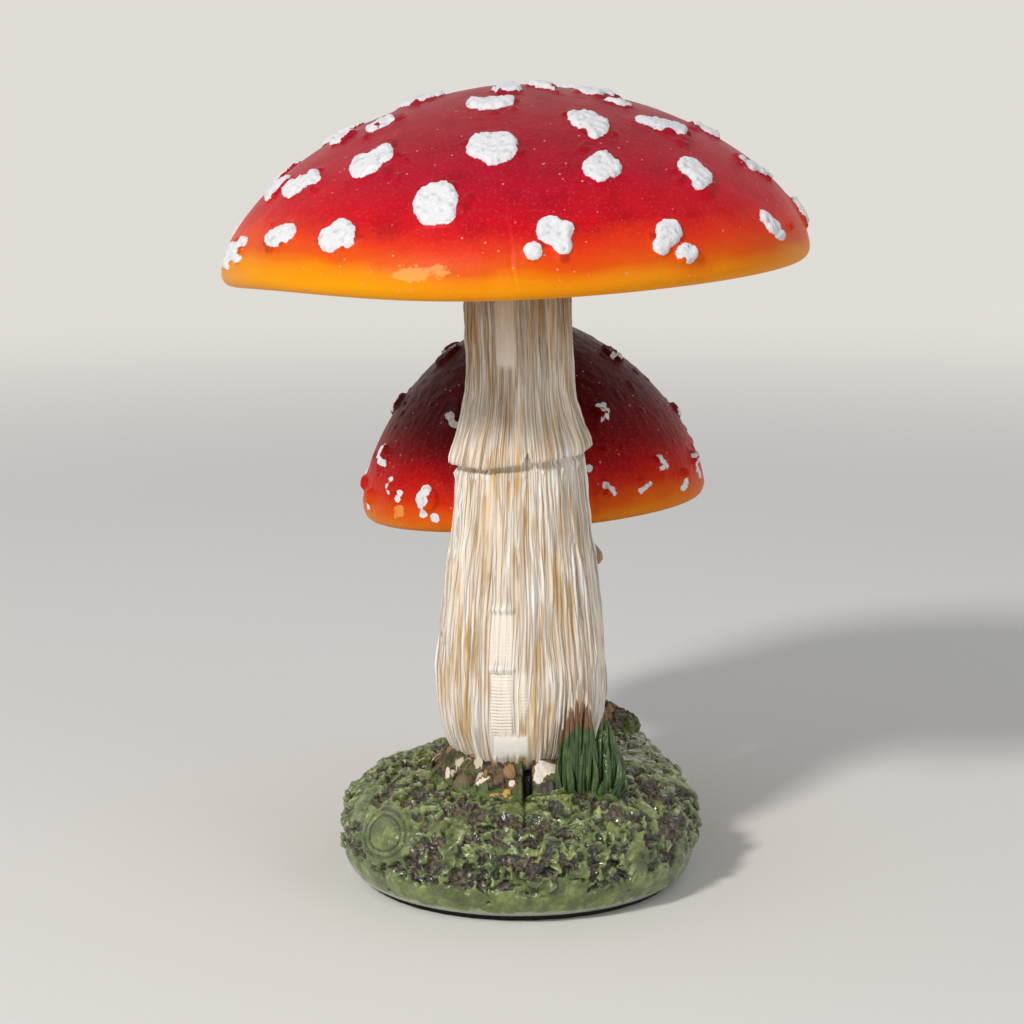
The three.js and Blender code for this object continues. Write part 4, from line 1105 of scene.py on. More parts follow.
mound = make_mound()

# %% [markdown]
# Leaf litter is heaped against each stem's foot to hide the glued joint. Up close it is flat chips
# at odd angles, so each scattered cell becomes one chip: it takes its own height, its own tilt and,
# through the fact "chip", its own colour. At the front of the tall stem single chips can be named,
# and those are listed one by one: centre and half size in millimetres, lift, and what they are. A heap
# is given by its radius, its height at the stem and at its edge, its depth, and its points round a ring.

# %% Litter round the stems
LITTER_ACROSS = 26
CHIP_SIZE = 1.7
WALL_STEPS = np.linspace(0, 1, 7)[1:, None]
TALL_HEAP = (TALL_COLLAR, 6.2, 1.4, 0, 480)
SHORT_HEAP = (SHORT_COLLAR, 5, 1.8, 1.6, 340)
SLIT_X, SLIT_Y, SLIT_DEPTH = 1.1, (-19.6, -10), 3.2
PEBBLE, BARK_BLOCK, GREEN_LIP, YELLOW, RESIN = 1.2, 1.4, 1.6, 1.8, 2.0
NAMED_CHIPS = [
    (-11.3, -13.0, 1.6, 1.5, 1.3, PEBBLE),
    (5.2, -14.4, 3.0, 1.6, 1.2, RESIN),
    (3.2, -15.6, 1.2, 1.3, 0.8, RESIN),
    (-7.4, -14.9, 1.9, 0.5, 0.5, RESIN),
    (-13.9, -9.2, 0.6, 1.6, 0.6, RESIN),
    (-4.9, -18.3, 2.0, 0.9, 0.4, YELLOW),
    (-2.6, -18.0, 0.9, 0.7, 0.7, YELLOW),
    (-1.8, -16.4, 0.8, 0.6, 0.5, RESIN),
    (4.9, -17.6, 2.2, 1.2, 0.9, BARK_BLOCK),
    (-0.25, -18.2, 0.42, 2.4, 1.6, GREEN_LIP),
]


def named_chips(points, lift, chip):
    """Sets the chips that can be told apart at the front of the tall stem, and cuts the slit."""
    x, y = points[:, 0], points[:, 1]
    for middle_x, middle_y, wide, deep, rise, kind in NAMED_CHIPS:
        off = ((x - middle_x) / wide) ** 2 + ((y - middle_y) / deep) ** 2
        share = bell(off + 0.4 * noise(points, 1.3, 131), 1)
        step = rise + 0 * x
        if kind == PEBBLE:
            step = 0.5 * rise * (1 + np.sqrt((1.3 - off).clip(0)))
        if kind == BARK_BLOCK:
            step = rise + 0.3 * np.sign(np.sin(4.2 * x + 3 * y))
        lift = lift * (1 - share) + share * (step + 0.12 * noise(points, 0.9, 132))
        chip = np.where(share > 0.5, kind + 0.08 * noise(points, 1.1, 133), chip)
    bank = within(x, 4.5, 16, 1.5) * within(np.hypot(x, y), 16.2, 20, 1.2) * (y < 0)
    lift = lift + BANK * bank + 0.9 * (1 - ease(np.hypot(x, y), 13, 17.5))
    slit = bell((x - SLIT_X) ** 3, 0.5) * within(y, *SLIT_Y, 0.3)
    return lift - SLIT_DEPTH * slit, chip, slit


def make_litter(name, stem, heap, node):
    """A ring of chips heaped against a stem's foot."""
    radius, height, edge, under, count = heap
    seat = centre_line(stem)[0]
    crest = stem["foot"] * 0.76
    slope = np.linspace(0, 1, LITTER_ACROSS)[:, None]
    inner, outer = np.array([[crest, height - 0.2]]), np.array([[radius + 0.2, edge - 0.5]])
    top = inner * (1 - slope) + outer * slope
    wall = outer * (1 - WALL_STEPS) + np.array([[radius, -under]]) * WALL_STEPS
    hidden = np.array([[crest - 1.5, -under], [crest - 1.5, height * 0.5]])
    rings = np.concatenate([top, wall, hidden])
    angle = np.tile(spokes(count), len(rings))
    away = np.repeat(rings[:, 0], count)
    points = around(away, angle, np.repeat(rings[:, 1], count))
    upper = np.arange(len(away)) < LITTER_ACROSS * count
    walled = ~upper & (away > crest)
    bent = shaken(points, 0.4, CHIP_SIZE, (121, 126, 127))
    lead, number, place = cells(bent, CHIP_SIZE, 122 + stem["seed"])[1:]
    tilt = SLOPES[(number * 255).astype(int)]
    lift = 1.0 * (number - 0.4) + 0.9 * np.einsum("ij,ij->i", place, tilt)
    lift = lift - 0.5 * (1 - ease(lead, 0, 0.14)) + 0.2 * noise(points, 0.9, 123)
    lift = lift + 0.4 * noise(points, 6, 124)
    chip, slit = number, 0 * number
    if stem is TALL_STEM:
        lift, chip, slit = named_chips(points, lift, chip)
    points[:, 2] += np.where(upper, lift, 0)
    points[:, :2] *= 1 + (walled * (0.5 * lift + 0.6 * noise(points, 2.2, 128)) / radius)[:, None]
    faces = band(0, count, len(rings) + 1) % len(points)
    facts = {"chip": chip, "slit": slit, "lift": lift, "edge": ease(away, radius - 3.2, radius)}
    return piece(name, points + seat, faces, node, facts)


tall_litter = make_litter("tall_leaf_litter", TALL_STEM, TALL_HEAP, "tall_litter")
short_litter = make_litter("short_leaf_litter", SHORT_STEM, SHORT_HEAP, "short_litter")

# %% [markdown]
# The grass is modelled like clay leaves pressed together: thick blades with a crease down the
# middle, nearly upright, that overlap each other and lean on the stem. A blade is a lens-shaped
# section carried up a curve and drawn in to its tip. Each row below is one blade, in millimetres:
# where it stands, how far it bellies out sideways, where its tip is, its half width, and the share
# of its length at which the green gives way to brown and cream.

# %% Grass blades
BLADE_SECTION = np.array(
    [
        (-1, 0), (-0.62, -0.5), (-0.14, -0.62), (0, -0.4), (0.14, -0.62), (0.62, -0.5),
        (1, 0), (0.5, 0.45), (0, 0.55), (-0.5, 0.45),
    ]
)
LEFT_BLADES = [
    (7.4, -17.4, -0.3, 7.6, -15.2, 34.2, 0.62, 0.7),
    (7.9, -17.9, 0.1, 8.4, -15.1, 36.8, 0.7, 0.66),
    (8.9, -17.6, 0.3, 8.7, -15.0, 38.2, 0.55, 0.63),
    (9.5, -18.1, -0.2, 9.5, -14.8, 39.4, 0.72, 0.62),
    (10.2, -17.6, 0.1, 10.4, -14.7, 41.8, 0.7, 0.6),
    (10.9, -18.0, -0.3, 11.2, -14.8, 39.8, 0.56, 0.66),
    (11.6, -17.6, 0.2, 11.8, -14.8, 39.2, 0.74, 0.66),
    (12.3, -17.9, 0, 12.8, -14.8, 37.4, 0.58, 0.72),
    (13.1, -17.5, 0.4, 13.2, -14.8, 34.2, 0.66, 0.9),
    (7.6, -18.5, -0.6, 7.0, -17.0, 28.0, 0.62, 1.2),
    (9.0, -18.7, 0.3, 8.6, -16.8, 29.8, 0.85, 1.2),
    (11.2, -18.7, -0.3, 11.4, -16.8, 30.6, 0.9, 1.2),
    (13.0, -18.4, 0.5, 13.3, -16.7, 28.4, 0.7, 1.2),
    (9.4, -16.4, 0, 9.6, -14.0, 38.6, 0.62, 0.7),
    (11.6, -16.4, 0, 11.8, -13.9, 39.0, 0.62, 0.7),
]
RIGHT_BLADES = [
    (14.2, -16.2, -0.9, 14.9, -12.9, 34.0, 0.6, 0.93),
    (14.6, -16.8, -0.4, 15.1, -12.8, 35.0, 0.75, 0.9),
    (15.2, -16.9, 0.4, 15.5, -12.8, 35.8, 0.56, 0.84),
    (15.6, -16.6, 1.2, 15.9, -12.8, 34.8, 0.78, 0.92),
    (16.0, -16.1, 2.0, 16.2, -12.7, 33.2, 0.6, 0.95),
    (16.4, -15.6, 2.6, 16.4, -12.5, 31.0, 0.74, 0.97),
    (14.4, -17.8, -0.7, 14.0, -15.6, 28.6, 0.7, 1.2),
    (15.5, -18.0, 0.4, 15.6, -15.4, 30.6, 0.9, 1.2),
    (16.4, -17.4, 1.4, 17.2, -15.0, 28.4, 0.8, 1.2),
    (16.8, -17.1, 0.9, 19.2, -16.6, 24.8, 0.95, 1.2),
    (16.2, -17.8, 0.4, 18.2, -18.6, 24.0, 0.95, 1.2),
    (15.0, -18.2, -0.2, 14.8, -19.6, 23.8, 0.95, 1.2),
    (15.2, -15.3, 0.4, 15.7, -12.0, 33.8, 0.7, 0.95),
    (16.0, -14.9, 1.4, 16.4, -11.8, 31.8, 0.7, 0.97),
]
BLADE_STEPS = 20
BLADE_ROOT = 18.8


def blade(row, seed):
    """Points and triangles of one blade, and the facts on them."""
    x, y, bulge, tip_x, tip_y, tip_z, width, pale = row
    share = np.linspace(0, 1, BLADE_STEPS)
    root, tip = np.array([x, y, BLADE_ROOT]), np.array([tip_x, tip_y, tip_z])
    rise = tip_z - BLADE_ROOT
    low = root + [bulge * 1.6, 0.1 * (tip_y - y), 0.4 * rise]
    high = tip + [bulge * 0.9, 0.1 * (y - tip_y), -0.35 * rise]
    spine = np.concatenate([[root], bezier([root, low, high, tip], BLADE_STEPS - 1)])
    spine[:, 0] += 0.22 * np.sin(share * 6 + seed * 1.3) * share
    half = width * (0.75 + 0.35 * np.sin(math.pi * share.clip(0, 0.75) / 0.75))
    half = half * (1 - 0.86 * ((share - 0.6) / 0.4).clip(0) ** 1.6)
    turn = 0.7 * math.sin(seed * 1.7)
    side = np.array([math.cos(turn), math.sin(turn), 0])
    away = np.array([-math.sin(turn), math.cos(turn), 0])
    u, v = BLADE_SECTION.T
    points = spine[:, None] + half[:, None, None] * (u[:, None] * side + v[:, None] * away)
    ends = [spine[0], spine[-1] + [0, 0, 0.3]]
    points = np.concatenate([points.reshape(-1, 3), ends])
    faces = tube(len(u), BLADE_STEPS)
    # painted shade along the blade edges and under the middle crease, where blades press together
    dark = 0.25 * bell(u, 0.25) * (v < 0) + (np.abs(u) > 0.9)
    crease = np.append(np.tile(dark, BLADE_STEPS), [0, 0])
    tip_share = np.append(np.repeat(share, len(u)), [0, 1])
    return points, faces, tip_share, crease, tip_share - pale


def make_tuft(name, rows, node, seed):
    """A clump of grass from its rows of blades."""
    parts = [blade(row, seed + i) for i, row in enumerate(rows)]
    starts = np.cumsum([0] + [len(p[0]) for p in parts])
    points = np.concatenate([p[0] for p in parts])
    faces = np.concatenate([p[1] + s for p, s in zip(parts, starts)])
    names = ("tip", "crease", "pale")
    facts = {fact: np.concatenate([p[k] for p in parts]) for k, fact in enumerate(names, start=2)}
    return piece(name, points, faces, node, facts)


left_tuft = make_tuft("left_grass_clump", LEFT_BLADES, "left_grass_tuft", 1)
right_tuft = make_tuft("right_grass_clump", RIGHT_BLADES, "right_grass_tuft", 5)

# %% [markdown]
# Paint is written as sums. A small class stands for one socket of a material, so that an expression
# such as mask * 0.5 + 0.2 adds its own Math nodes. Anything that is not plain arithmetic comes from
# one method, node, which makes any node from its type, its settings and its inputs.

# %% Shader expressions


class Wire:
    """A value that flows through a material's nodes."""

    def __init__(self, finish, socket):
        self.finish = finish
        self.socket = socket

    def maths(self, operation, *values):
        return self.finish.node("ShaderNodeMath", {"operation": operation}, dict(enumerate(values)))

    def __add__(self, other):
        return self.maths("ADD", self, other)

    __radd__ = __add__

    def __sub__(self, other):
        return self.maths("SUBTRACT", self, other)

    def __rsub__(self, other):
        return self.maths("SUBTRACT", other, self)

    def __mul__(self, other):
        return self.maths("MULTIPLY", self, other)

    __rmul__ = __mul__

    def __truediv__(self, other):
        return self.maths("DIVIDE", self, other)

    def wave(self):
        """Sine of this value."""
        return self.maths("SINE", self)

    def between(self, low, high):
        """0 below low, 1 above high, and smooth between."""
        return self.finish.node(
            "ShaderNodeMapRange",
            {"interpolation_type": "SMOOTHSTEP"},
            {"Value": self, "From Min": low, "From Max": high},
        )

    def size(self):
        """This value without its sign."""
        return self.maths("ABSOLUTE", self)

    def limited(self):
        """Held between 0 and 1."""
        return self.finish.node("ShaderNodeClamp", {}, {"Value": self})


class Finish:
    """A paint or other finish that is being mixed, or the light of a world."""

    def __init__(self, name, home=bpy.data.materials, **constant):
        self.material = home.new(name)
        self.material.use_nodes = True
        self.tree = self.material.node_tree
        self.output, self.shader = sorted(self.tree.nodes, key=lambda node: len(node.outputs))
        for socket, value in constant.items():
            self.shader.inputs[socket.replace("_", " ")].default_value = value

    def feed(self, socket, value):
        """Puts a number, colour or wire into a socket."""
        if isinstance(value, Wire):
            self.tree.links.new(value.socket, socket)
        elif isinstance(value, tuple) and socket.type == "RGBA":
            socket.default_value = (*value, 1)
        else:
            socket.default_value = value

    def node(self, kind, settings, inputs, output=0):
        """Any node, from its type, its settings and its inputs."""
        made = self.tree.nodes.new(kind)
        for setting, value in settings.items():
            if setting == "stops":
                self.set_stops(made.color_ramp, value)
            else:
                setattr(made, setting, value)
        for name, value in inputs.items():
            self.feed(made.inputs[name], value)
        return Wire(self, made.outputs[output])

    @staticmethod
    def set_stops(ramp, stops):
        while len(ramp.elements) < len(stops):
            ramp.elements.new(0.5)
        for element, (position, colour) in zip(ramp.elements, stops):
            element.position = position
            element.color = (*colour, 1)

    def fact(self, name):
        """What the mesh knows about each point."""
        return self.node("ShaderNodeAttribute", {"attribute_name": name}, {}, "Fac")

    def place(self, stretch=(1, 1, 1)):
        """Where a point is on the object, in millimetres, stretched if asked."""
        at = self.node("ShaderNodeTexCoord", {}, {}, "Object")
        scale = tuple(s / MM for s in stretch)
        return self.node("ShaderNodeVectorMath", {"operation": "MULTIPLY"}, {0: at, 1: scale})

    def noise(self, size, detail=3.0, stretch=(1, 1, 1), rough=0.55):
        """Noise from 0 to 1 with lumps of this size in millimetres."""
        return self.node(
            "ShaderNodeTexNoise",
            {},
            {"Vector": self.place(stretch), "Scale": 1 / size, "Detail": detail, "Roughness": rough},
        )

    def threads(self, size, along, detail):
        """Noise that runs straight up a stem: millimetres across and along."""
        parts = zip("XYZ", ("pattern_x", "pattern_y", "height"), (size, size, along))
        at = self.node("ShaderNodeCombineXYZ", {}, {axis: self.fact(f) / s for axis, f, s in parts})
        return self.node("ShaderNodeTexNoise", {}, {"Vector": at, "Scale": 1, "Detail": detail})

    def crumbs(self, size):
        """Distance to scattered centres, as a share of their spacing in millimetres."""
        return self.node("ShaderNodeTexVoronoi", {}, {"Vector": self.place(), "Scale": 1 / size})

    def mix(self, share, below, above):
        """One colour over another."""
        sockets = {"Factor": share, 6: below, 7: above}
        return self.node("ShaderNodeMix", {"data_type": "RGBA"}, sockets, 2)

    def layered(self, colour, *layers):
        """Coats of paint over a colour, each with the share that it covers."""
        for share, coat in layers:
            colour = self.mix(share, colour, coat)
        return colour

    def ramp(self, value, stops):
        """Colours along a value."""
        return self.node("ShaderNodeValToRGB", {"stops": stops}, {"Fac": value})

    def relief(self, height, distance, strength=1.0):
        """A bump from a height of 0 to 1, distance in millimetres."""
        return self.node(
            "ShaderNodeBump", {}, {"Height": height, "Distance": distance * MM, "Strength": strength}
        )

    def give(self, *objects, **sockets):
        """Wires up the shader and puts the finish on objects."""
        for socket, value in sockets.items():
            self.feed(self.shader.inputs[socket.replace("_", " ")], value)
        for thing in objects:
            thing.data.materials.clear()
            thing.data.materials.append(self.material)
        print(f"{self.material.name}: {len(self.tree.nodes)} nodes on {[o.name for o in objects]}")

    def seen_as(self, kind, colour, rays, share):
        """Shows these rays a plain colour, a share of it, and leaves all other rays the finish."""
        eye = sum(self.node("ShaderNodeLightPath", {}, {}, ray) for ray in rays).limited()
        plain = self.node(kind, {}, {"Color": colour, "Strength": 1.0})
        lit = Wire(self, self.shader.outputs[0])
        mixed = self.node("ShaderNodeMixShader", {}, {0: eye * share, 1: lit, 2: plain})
        self.feed(self.output.inputs["Surface"], mixed)


def srgb(red, green, blue):
    """A colour as paint charts write it, 0 to 255, in the shader's linear terms."""
    parts = [c / 255 for c in (red, green, blue)]
    return tuple(c / 12.92 if c <= 0.04045 else ((c + 0.055) / 1.055) ** 2.4 for c in parts)


print("ivory:", np.round(srgb(238, 228, 208), 3))

# %% [markdown]
# The tall cap is airbrushed: amber at the rim, then orange, scarlet and crimson to a dark crown,
# with the borders drifting up and down and wiped sideways near the rim. Towards the front left, the
# side that faces the key lamp, its amber reaches higher: partly the airbrush, partly painted light.
# White is laid over it by hand; it turns grey in the pits of its crumbly top as painted shade. Its
# edge comes from the fact "paint" with fine noise on it, so it is sharper than the mesh. The red has
# a satin varnish, with specks of dust caught in it and fine pale flecks painted as glints where tiny
# bumps would catch the light; the white is chalkier.

# %% Paint of the caps
WHITE = srgb(241, 241, 244)
WHITE_SHADE = srgb(196, 196, 208)
GILL = srgb(232, 214, 176)
GILL_DEEP = srgb(160, 120, 70)
# pale specks of dust in the varnish, and fine painted glints on the red
SPECK_AND_GLINT = srgb(232, 150, 138)
PEACH = srgb(250, 184, 96)
OXBLOOD = srgb(110, 6, 22)
TALL_LUMP, SHORT_LUMP = srgb(150, 8, 22), srgb(90, 4, 14)


def cap_paint(cap_piece, name, stops, lumps, height, uneven, gloss):
    paint = Finish(name, Specular_IOR_Level=gloss)
    rise = paint.fact("rise")
    slow = paint.noise(17, 2.0)
    brushed = paint.noise(5, 4.0, stretch=(0.3, 0.3, 1.3))
    drift = 4.5 * (slow - 0.5) + 3.4 * (brushed - 0.5)
    # on the tall cap the amber reaches higher on the front-left side, facing the key lamp: partly the
    # airbrush, partly painted light
    level = rise + drift + uneven * (1.2 - 4.0 * paint.fact("left"))
    mottle = paint.noise(6, 5.0)
    fine = paint.noise(0.55, 4.0, rough=0.7)
    rubbing = paint.noise(2.6, 5.0, stretch=(0.7, 0.7, 1.3), rough=0.65)
    rubbed = paint.fact("wiped") * 0.34 + rubbing
    specks = (0.13 - paint.crumbs(1.9)).between(0, 0.03) * paint.noise(4, 2.0).between(0.48, 0.54)
    dabbed = (paint.fact("paint") + 0.45 * (fine - 0.5)).between(-0.05, 0.06)
    # painted shade: the white turns grey where its crumbly top sinks into pits
    shade = (0.95 - paint.fact("crag")).between(0.1, 0.5) * 0.7
    gills = paint.mix(paint.fact("gill").between(0.2, 1.0), GILL, GILL_DEEP)
    under = paint.fact("under").between(0.4, 0.6)
    colour = paint.layered(
        paint.ramp((level / height).limited(), stops),
        (mottle.between(0.45, 0.75) * rise.between(5, 12) * 0.3, OXBLOOD),
        (rubbed.between(0.72, 0.82) * 0.5, PEACH),
        # painted glints: fine pale flecks high on the red, where tiny bumps would catch the light
        (fine.between(0.5, 0.75) * rise.between(4, 9) * 0.13, SPECK_AND_GLINT),
        (paint.fact("lump").between(0.2, 0.8) * 0.4, lumps),
        (specks * 0.7, SPECK_AND_GLINT),
        (dabbed, paint.mix(shade, WHITE, WHITE_SHADE)),
        (under, gills),
    )
    grain = paint.noise(0.5, 5.0, rough=0.65)
    relief = 0.55 * paint.noise(1.5, 3.0) + 0.45 * grain + 2.2 * dabbed * (fine - 0.3)
    paint.give(
        cap_piece,
        Base_Color=colour,
        Roughness=0.38 + 0.16 * (mottle - 0.5) + 0.26 * dabbed + 0.2 * under,
        Normal=paint.relief(relief, 0.16, 0.8),
    )


TALL_STOPS = [
    (0.0, srgb(240, 156, 2)),
    (0.1, srgb(236, 136, 4)),
    (0.16, srgb(228, 88, 6)),
    (0.26, srgb(228, 54, 18)),
    (0.36, srgb(206, 10, 26)),
    (0.55, srgb(182, 6, 38)),
    (0.78, srgb(162, 14, 40)),
    (1.0, srgb(156, 32, 44)),
]
SHORT_STOPS = [
    (0.0, srgb(226, 128, 18)),
    (0.07, srgb(222, 92, 12)),
    (0.16, srgb(206, 40, 10)),
    (0.27, srgb(178, 8, 12)),
    (0.4, srgb(126, 2, 12)),
    (0.6, srgb(80, 3, 12)),
    (1.0, srgb(66, 8, 12)),
]
cap_paint(tall_cap, "airbrushed_tall_cap", TALL_STOPS, TALL_LUMP, height=34, uneven=1.0, gloss=0.1)
cap_paint(short_cap, "airbrushed_short_cap", SHORT_STOPS, SHORT_LUMP, height=36, uneven=0.0, gloss=0.07)

# %% [markdown]
# The stems are ivory with a thin ochre wash that was wiped off the crests again, so it stays in the
# grooves, and stays thickest under the cap and in streaks. Painted light goes over it: a thin white
# line along each crest line as its highlight and a thin brown line beside it as its shadow, the
# ledges whitened as highlights, and brown over the neck as the shade of the cap. The torn rim under
# the skirt is whiter too. Long streaks are noise that is squeezed along the stem. The ladder is a
# bump whose height goes up and down with the height on the stem.

# %% Paint of the stems
IVORY = srgb(246, 236, 222)
# whiter crests where the wash was wiped off, and painted highlights on crest lines and ledges
CREST_WHITE_AND_HIGHLIGHT = srgb(252, 249, 243)
OCHRE = srgb(216, 178, 116)
# brown of the pooled wash, and of the painted shade and shadow lines on the stems
WASH_BROWN_AND_SHADE = srgb(158, 110, 58)
LADDER_STEP = 0.63


def stem_paint(stem_piece, name, neck_height, stain):
    paint = Finish(name, Specular_IOR_Level=0.4)
    groove = paint.fact("groove")
    height = paint.fact("height")
    smooth = paint.fact("smooth")
    streak = paint.threads(1.5, 16, 4.0)
    fine = paint.threads(0.7, 6, 4.0)
    patches = paint.threads(6.5, 16, 4.0)
    near_cap = height.between(neck_height - 30, neck_height)
    thread = paint.threads(1.0, 34, 1.0)
    drawn = (1 - 1.4 * smooth).limited()
    # painted highlight: a thin white line along each drawn crest
    crest = (0.05 - (thread - 0.53).size()).between(0, 0.045) * drawn
    # painted shadow: a thin brown line beside each crest line
    slit = (0.04 - (thread - 0.42).size()).between(0, 0.04) * drawn
    wash = groove.between(0.1, 0.7) * (0.3 + 0.6 * streak.between(0.45, 0.6))
    wash = wash * (0.4 + 0.8 * patches.between(0.46, 0.58))
    wash = wash + near_cap * 0.7 * streak.between(0.36, 0.56)
    wash = wash * (1 - 0.7 * smooth) * (1 - 0.7 * paint.fact("torn")) * stain
    deep = groove.between(0.6, 1.0) * fine.between(0.44, 0.62) * (0.3 + 0.6 * near_cap) * stain
    # painted shade of the cap: brown over the neck, strongest just under the cap
    shadowed = height.between(neck_height - 26, neck_height + 4) * 0.85
    colour = paint.layered(
        paint.mix(groove.between(0.05, 0.45), CREST_WHITE_AND_HIGHLIGHT, IVORY),
        (wash.limited(), OCHRE),
        ((deep * (1 - smooth)).limited(), WASH_BROWN_AND_SHADE),
        (slit * (0.1 + 0.6 * patches), WASH_BROWN_AND_SHADE),
        (crest * 0.8, CREST_WHITE_AND_HIGHLIGHT),
        (shadowed * (0.4 + fine), WASH_BROWN_AND_SHADE),
        # whiter torn rim under the skirt, and whiter ledges as painted highlight
        (paint.fact("torn").limited() * 0.8, CREST_WHITE_AND_HIGHLIGHT),
    )
    grain = paint.noise(0.35, 4.0, stretch=(1, 1, 0.4))
    rungs = (height * (2 * math.pi / LADDER_STEP)).wave() * paint.fact("ladder") * 0.2
    relief = 0.3 * fine + 0.2 * grain + rungs + 0.9 * crest - 0.6 * slit
    paint.give(
        stem_piece,
        Base_Color=colour,
        Roughness=0.56 + 0.15 * (grain - 0.5),
        Normal=paint.relief(relief, 0.3, 1.0),
    )


stem_paint(tall_stem, "washed_tall_stem", neck_height=99, stain=1.0)
stem_paint(short_stem, "washed_short_stem", neck_height=44, stain=1.5)

# %% [markdown]
# Moss green is a gloss enamel: it catches the light in many small sparks, which is what a low
# roughness on lumpy relief gives. The pits are brown and nearly black, with grey grit, and matt.
# Pale dry-brushed green on the high crumbs stands partly for highlights, so it is partly painted
# highlight; dark green in the hollows between the crumbs is painted shade, and so is the near-black
# in the boss's ring groove, round the boss's foot and along the crack.

# %% Paint of the mound
MOSS = srgb(80, 98, 38)
MOSS_LIGHT = srgb(132, 148, 76)
MOSS_HOLLOW_SHADE = srgb(20, 28, 8)
# pale dry-brushed green on the high crumbs, partly painted highlight
MOSS_TOP_AND_HIGHLIGHT = srgb(190, 198, 138)
EARTH = srgb(100, 82, 60)
# dark earth in the pits, and painted shade in the boss's groove and along the crack
DARK_EARTH_AND_SHADE = srgb(18, 15, 12)
GRIT = srgb(156, 142, 122)
BARE_RESIN = srgb(178, 184, 164)
STREAK = srgb(78, 66, 34)


def mound_paint():
    paint = Finish("glossy_moss", Specular_IOR_Level=0.6, Coat_Weight=0.7, Coat_Roughness=0.06)
    lift = paint.fact("lift")
    height = paint.fact("height")
    smooth = paint.fact("smooth")
    spread = paint.noise(3.4, 4.0)
    fine = paint.noise(0.6, 5.0, rough=0.7)
    # painted shade: dark green in the hollows between the crumbs
    hollow_shade = (0.1 - lift).between(0.0, 0.2) * (1 - smooth)
    green = paint.layered(
        paint.mix(spread.between(0.4, 0.7), MOSS, MOSS_LIGHT),
        # pale dry-brushed green on the high crumbs, standing partly for gloss highlights: painted
        # highlight
        ((lift - 0.35).between(0.0, 0.3) * 0.6, MOSS_TOP_AND_HIGHLIGHT),
        (hollow_shade * 0.9, MOSS_HOLLOW_SHADE),
    )
    bare = (paint.fact("earth") + 0.5 * (fine - 0.5)).between(0.35, 0.6)
    soil = paint.mix(paint.noise(1.4, 4.0).between(0.42, 0.58), DARK_EARTH_AND_SHADE, EARTH)
    soil = paint.mix(paint.noise(0.5, 3.0).between(0.6, 0.7) * 0.8, soil, GRIT)
    boss = paint.fact("boss")
    # painted shade: near-black in the boss's ring groove, round the boss's foot and along the crack
    ring = (0.3 - (boss - BOSS_RADIUS + 0.8).size()).between(0, 0.12)
    gap = (0.42 - (boss - BOSS_RADIUS - 0.5).size()).between(0, 0.2) * fine.between(0.35, 0.5)
    groove_and_crack_shade = ring * 0.7 + gap * 0.7 + paint.fact("crack").between(0.3, 0.9) * 0.75
    streaks = paint.noise(2.2, 3.0, stretch=(1, 1, 0.25)).between(0.58, 0.68) * smooth * 0.5
    worn = (1.9 - height + 3 * (paint.noise(3, 4.0) - 0.5)).between(0.0, 0.5)
    colour = paint.layered(
        green, (bare, soil), (groove_and_crack_shade.limited(), DARK_EARTH_AND_SHADE), (streaks, STREAK), (worn * 0.75, BARE_RESIN)
    )
    relief = 0.12 * fine + 0.6 * paint.noise(1.1, 1.0) - 0.4 * paint.crumbs(1.2) * (1 - smooth)
    paint.give(
        mound,
        Base_Color=colour,
        Roughness=0.1 + 0.4 * bare + 0.1 * (fine - 0.5) + 0.16 * smooth,
        Normal=paint.relief(relief, 1.0, 1.0),
    )


mound_paint()

# %% Paint of the litter
CHIPS = [
    (0.0, srgb(44, 32, 22)),
    (0.16, srgb(98, 72, 44)),
    (0.28, srgb(40, 31, 24)),
    (0.4, srgb(66, 82, 36)),
    (0.52, srgb(78, 58, 40)),
    (0.62, srgb(150, 112, 64)),
    (0.7, srgb(56, 70, 30)),
    (0.8, srgb(64, 50, 38)),
    (0.9, srgb(208, 196, 172)),
    (0.95, srgb(110, 84, 58)),
]
KINDS = [
    (PEBBLE, srgb(112, 92, 62)),
    (BARK_BLOCK, srgb(66, 58, 54)),
    (GREEN_LIP, MOSS),
    (YELLOW, srgb(206, 156, 74)),
    (RESIN, srgb(238, 230, 216)),
]


def litter_paint(*pieces):
    paint = Finish("leaf_litter_paint")
    chip = paint.fact("chip")
    fine = paint.noise(0.7, 4.0)
    chips = paint.ramp(chip.limited(), CHIPS)
    chips.socket.node.color_ramp.interpolation = "CONSTANT"
    mossy = (paint.fact("edge") + 0.9 * (paint.noise(2.3, 3.0) - 0.5)).between(0.5, 0.7)
    colour = paint.layered(
        chips,
        (fine.between(0.5, 0.75) * 0.45, srgb(150, 120, 84)),
        # painted shade: near black in the low gaps between chips
        ((-0.1 - paint.fact("lift")).between(0, 0.4) * 0.85, srgb(20, 15, 11)),
        (mossy, MOSS),
    )
    for kind, tint in KINDS:
        tinted = paint.mix(fine.between(0.5, 0.7) * 0.4, tint, tuple(c * 0.55 for c in tint))
        colour = paint.mix(chip.between(kind - 0.11, kind - 0.09), colour, tinted)
    # painted shade: the slit is painted near black
    colour = paint.mix(paint.fact("slit").between(0.3, 0.6), colour, srgb(9, 9, 11))
    grain = paint.noise(0.4, 4.0, rough=0.7)
    paint.give(
        *pieces,
        Base_Color=colour,
        Roughness=0.46 + 0.3 * (fine - 0.5),
        Normal=paint.relief(0.5 * fine + 0.5 * grain, 0.3, 0.9),
    )


litter_paint(tall_litter, short_litter)

# %% Paint of the grass
GRASS = srgb(50, 78, 36)
GRASS_LIGHT = srgb(86, 114, 60)
GRASS_DEEP = srgb(14, 24, 9)
TIP = srgb(240, 228, 206)
TIP_BROWN = srgb(126, 86, 58)


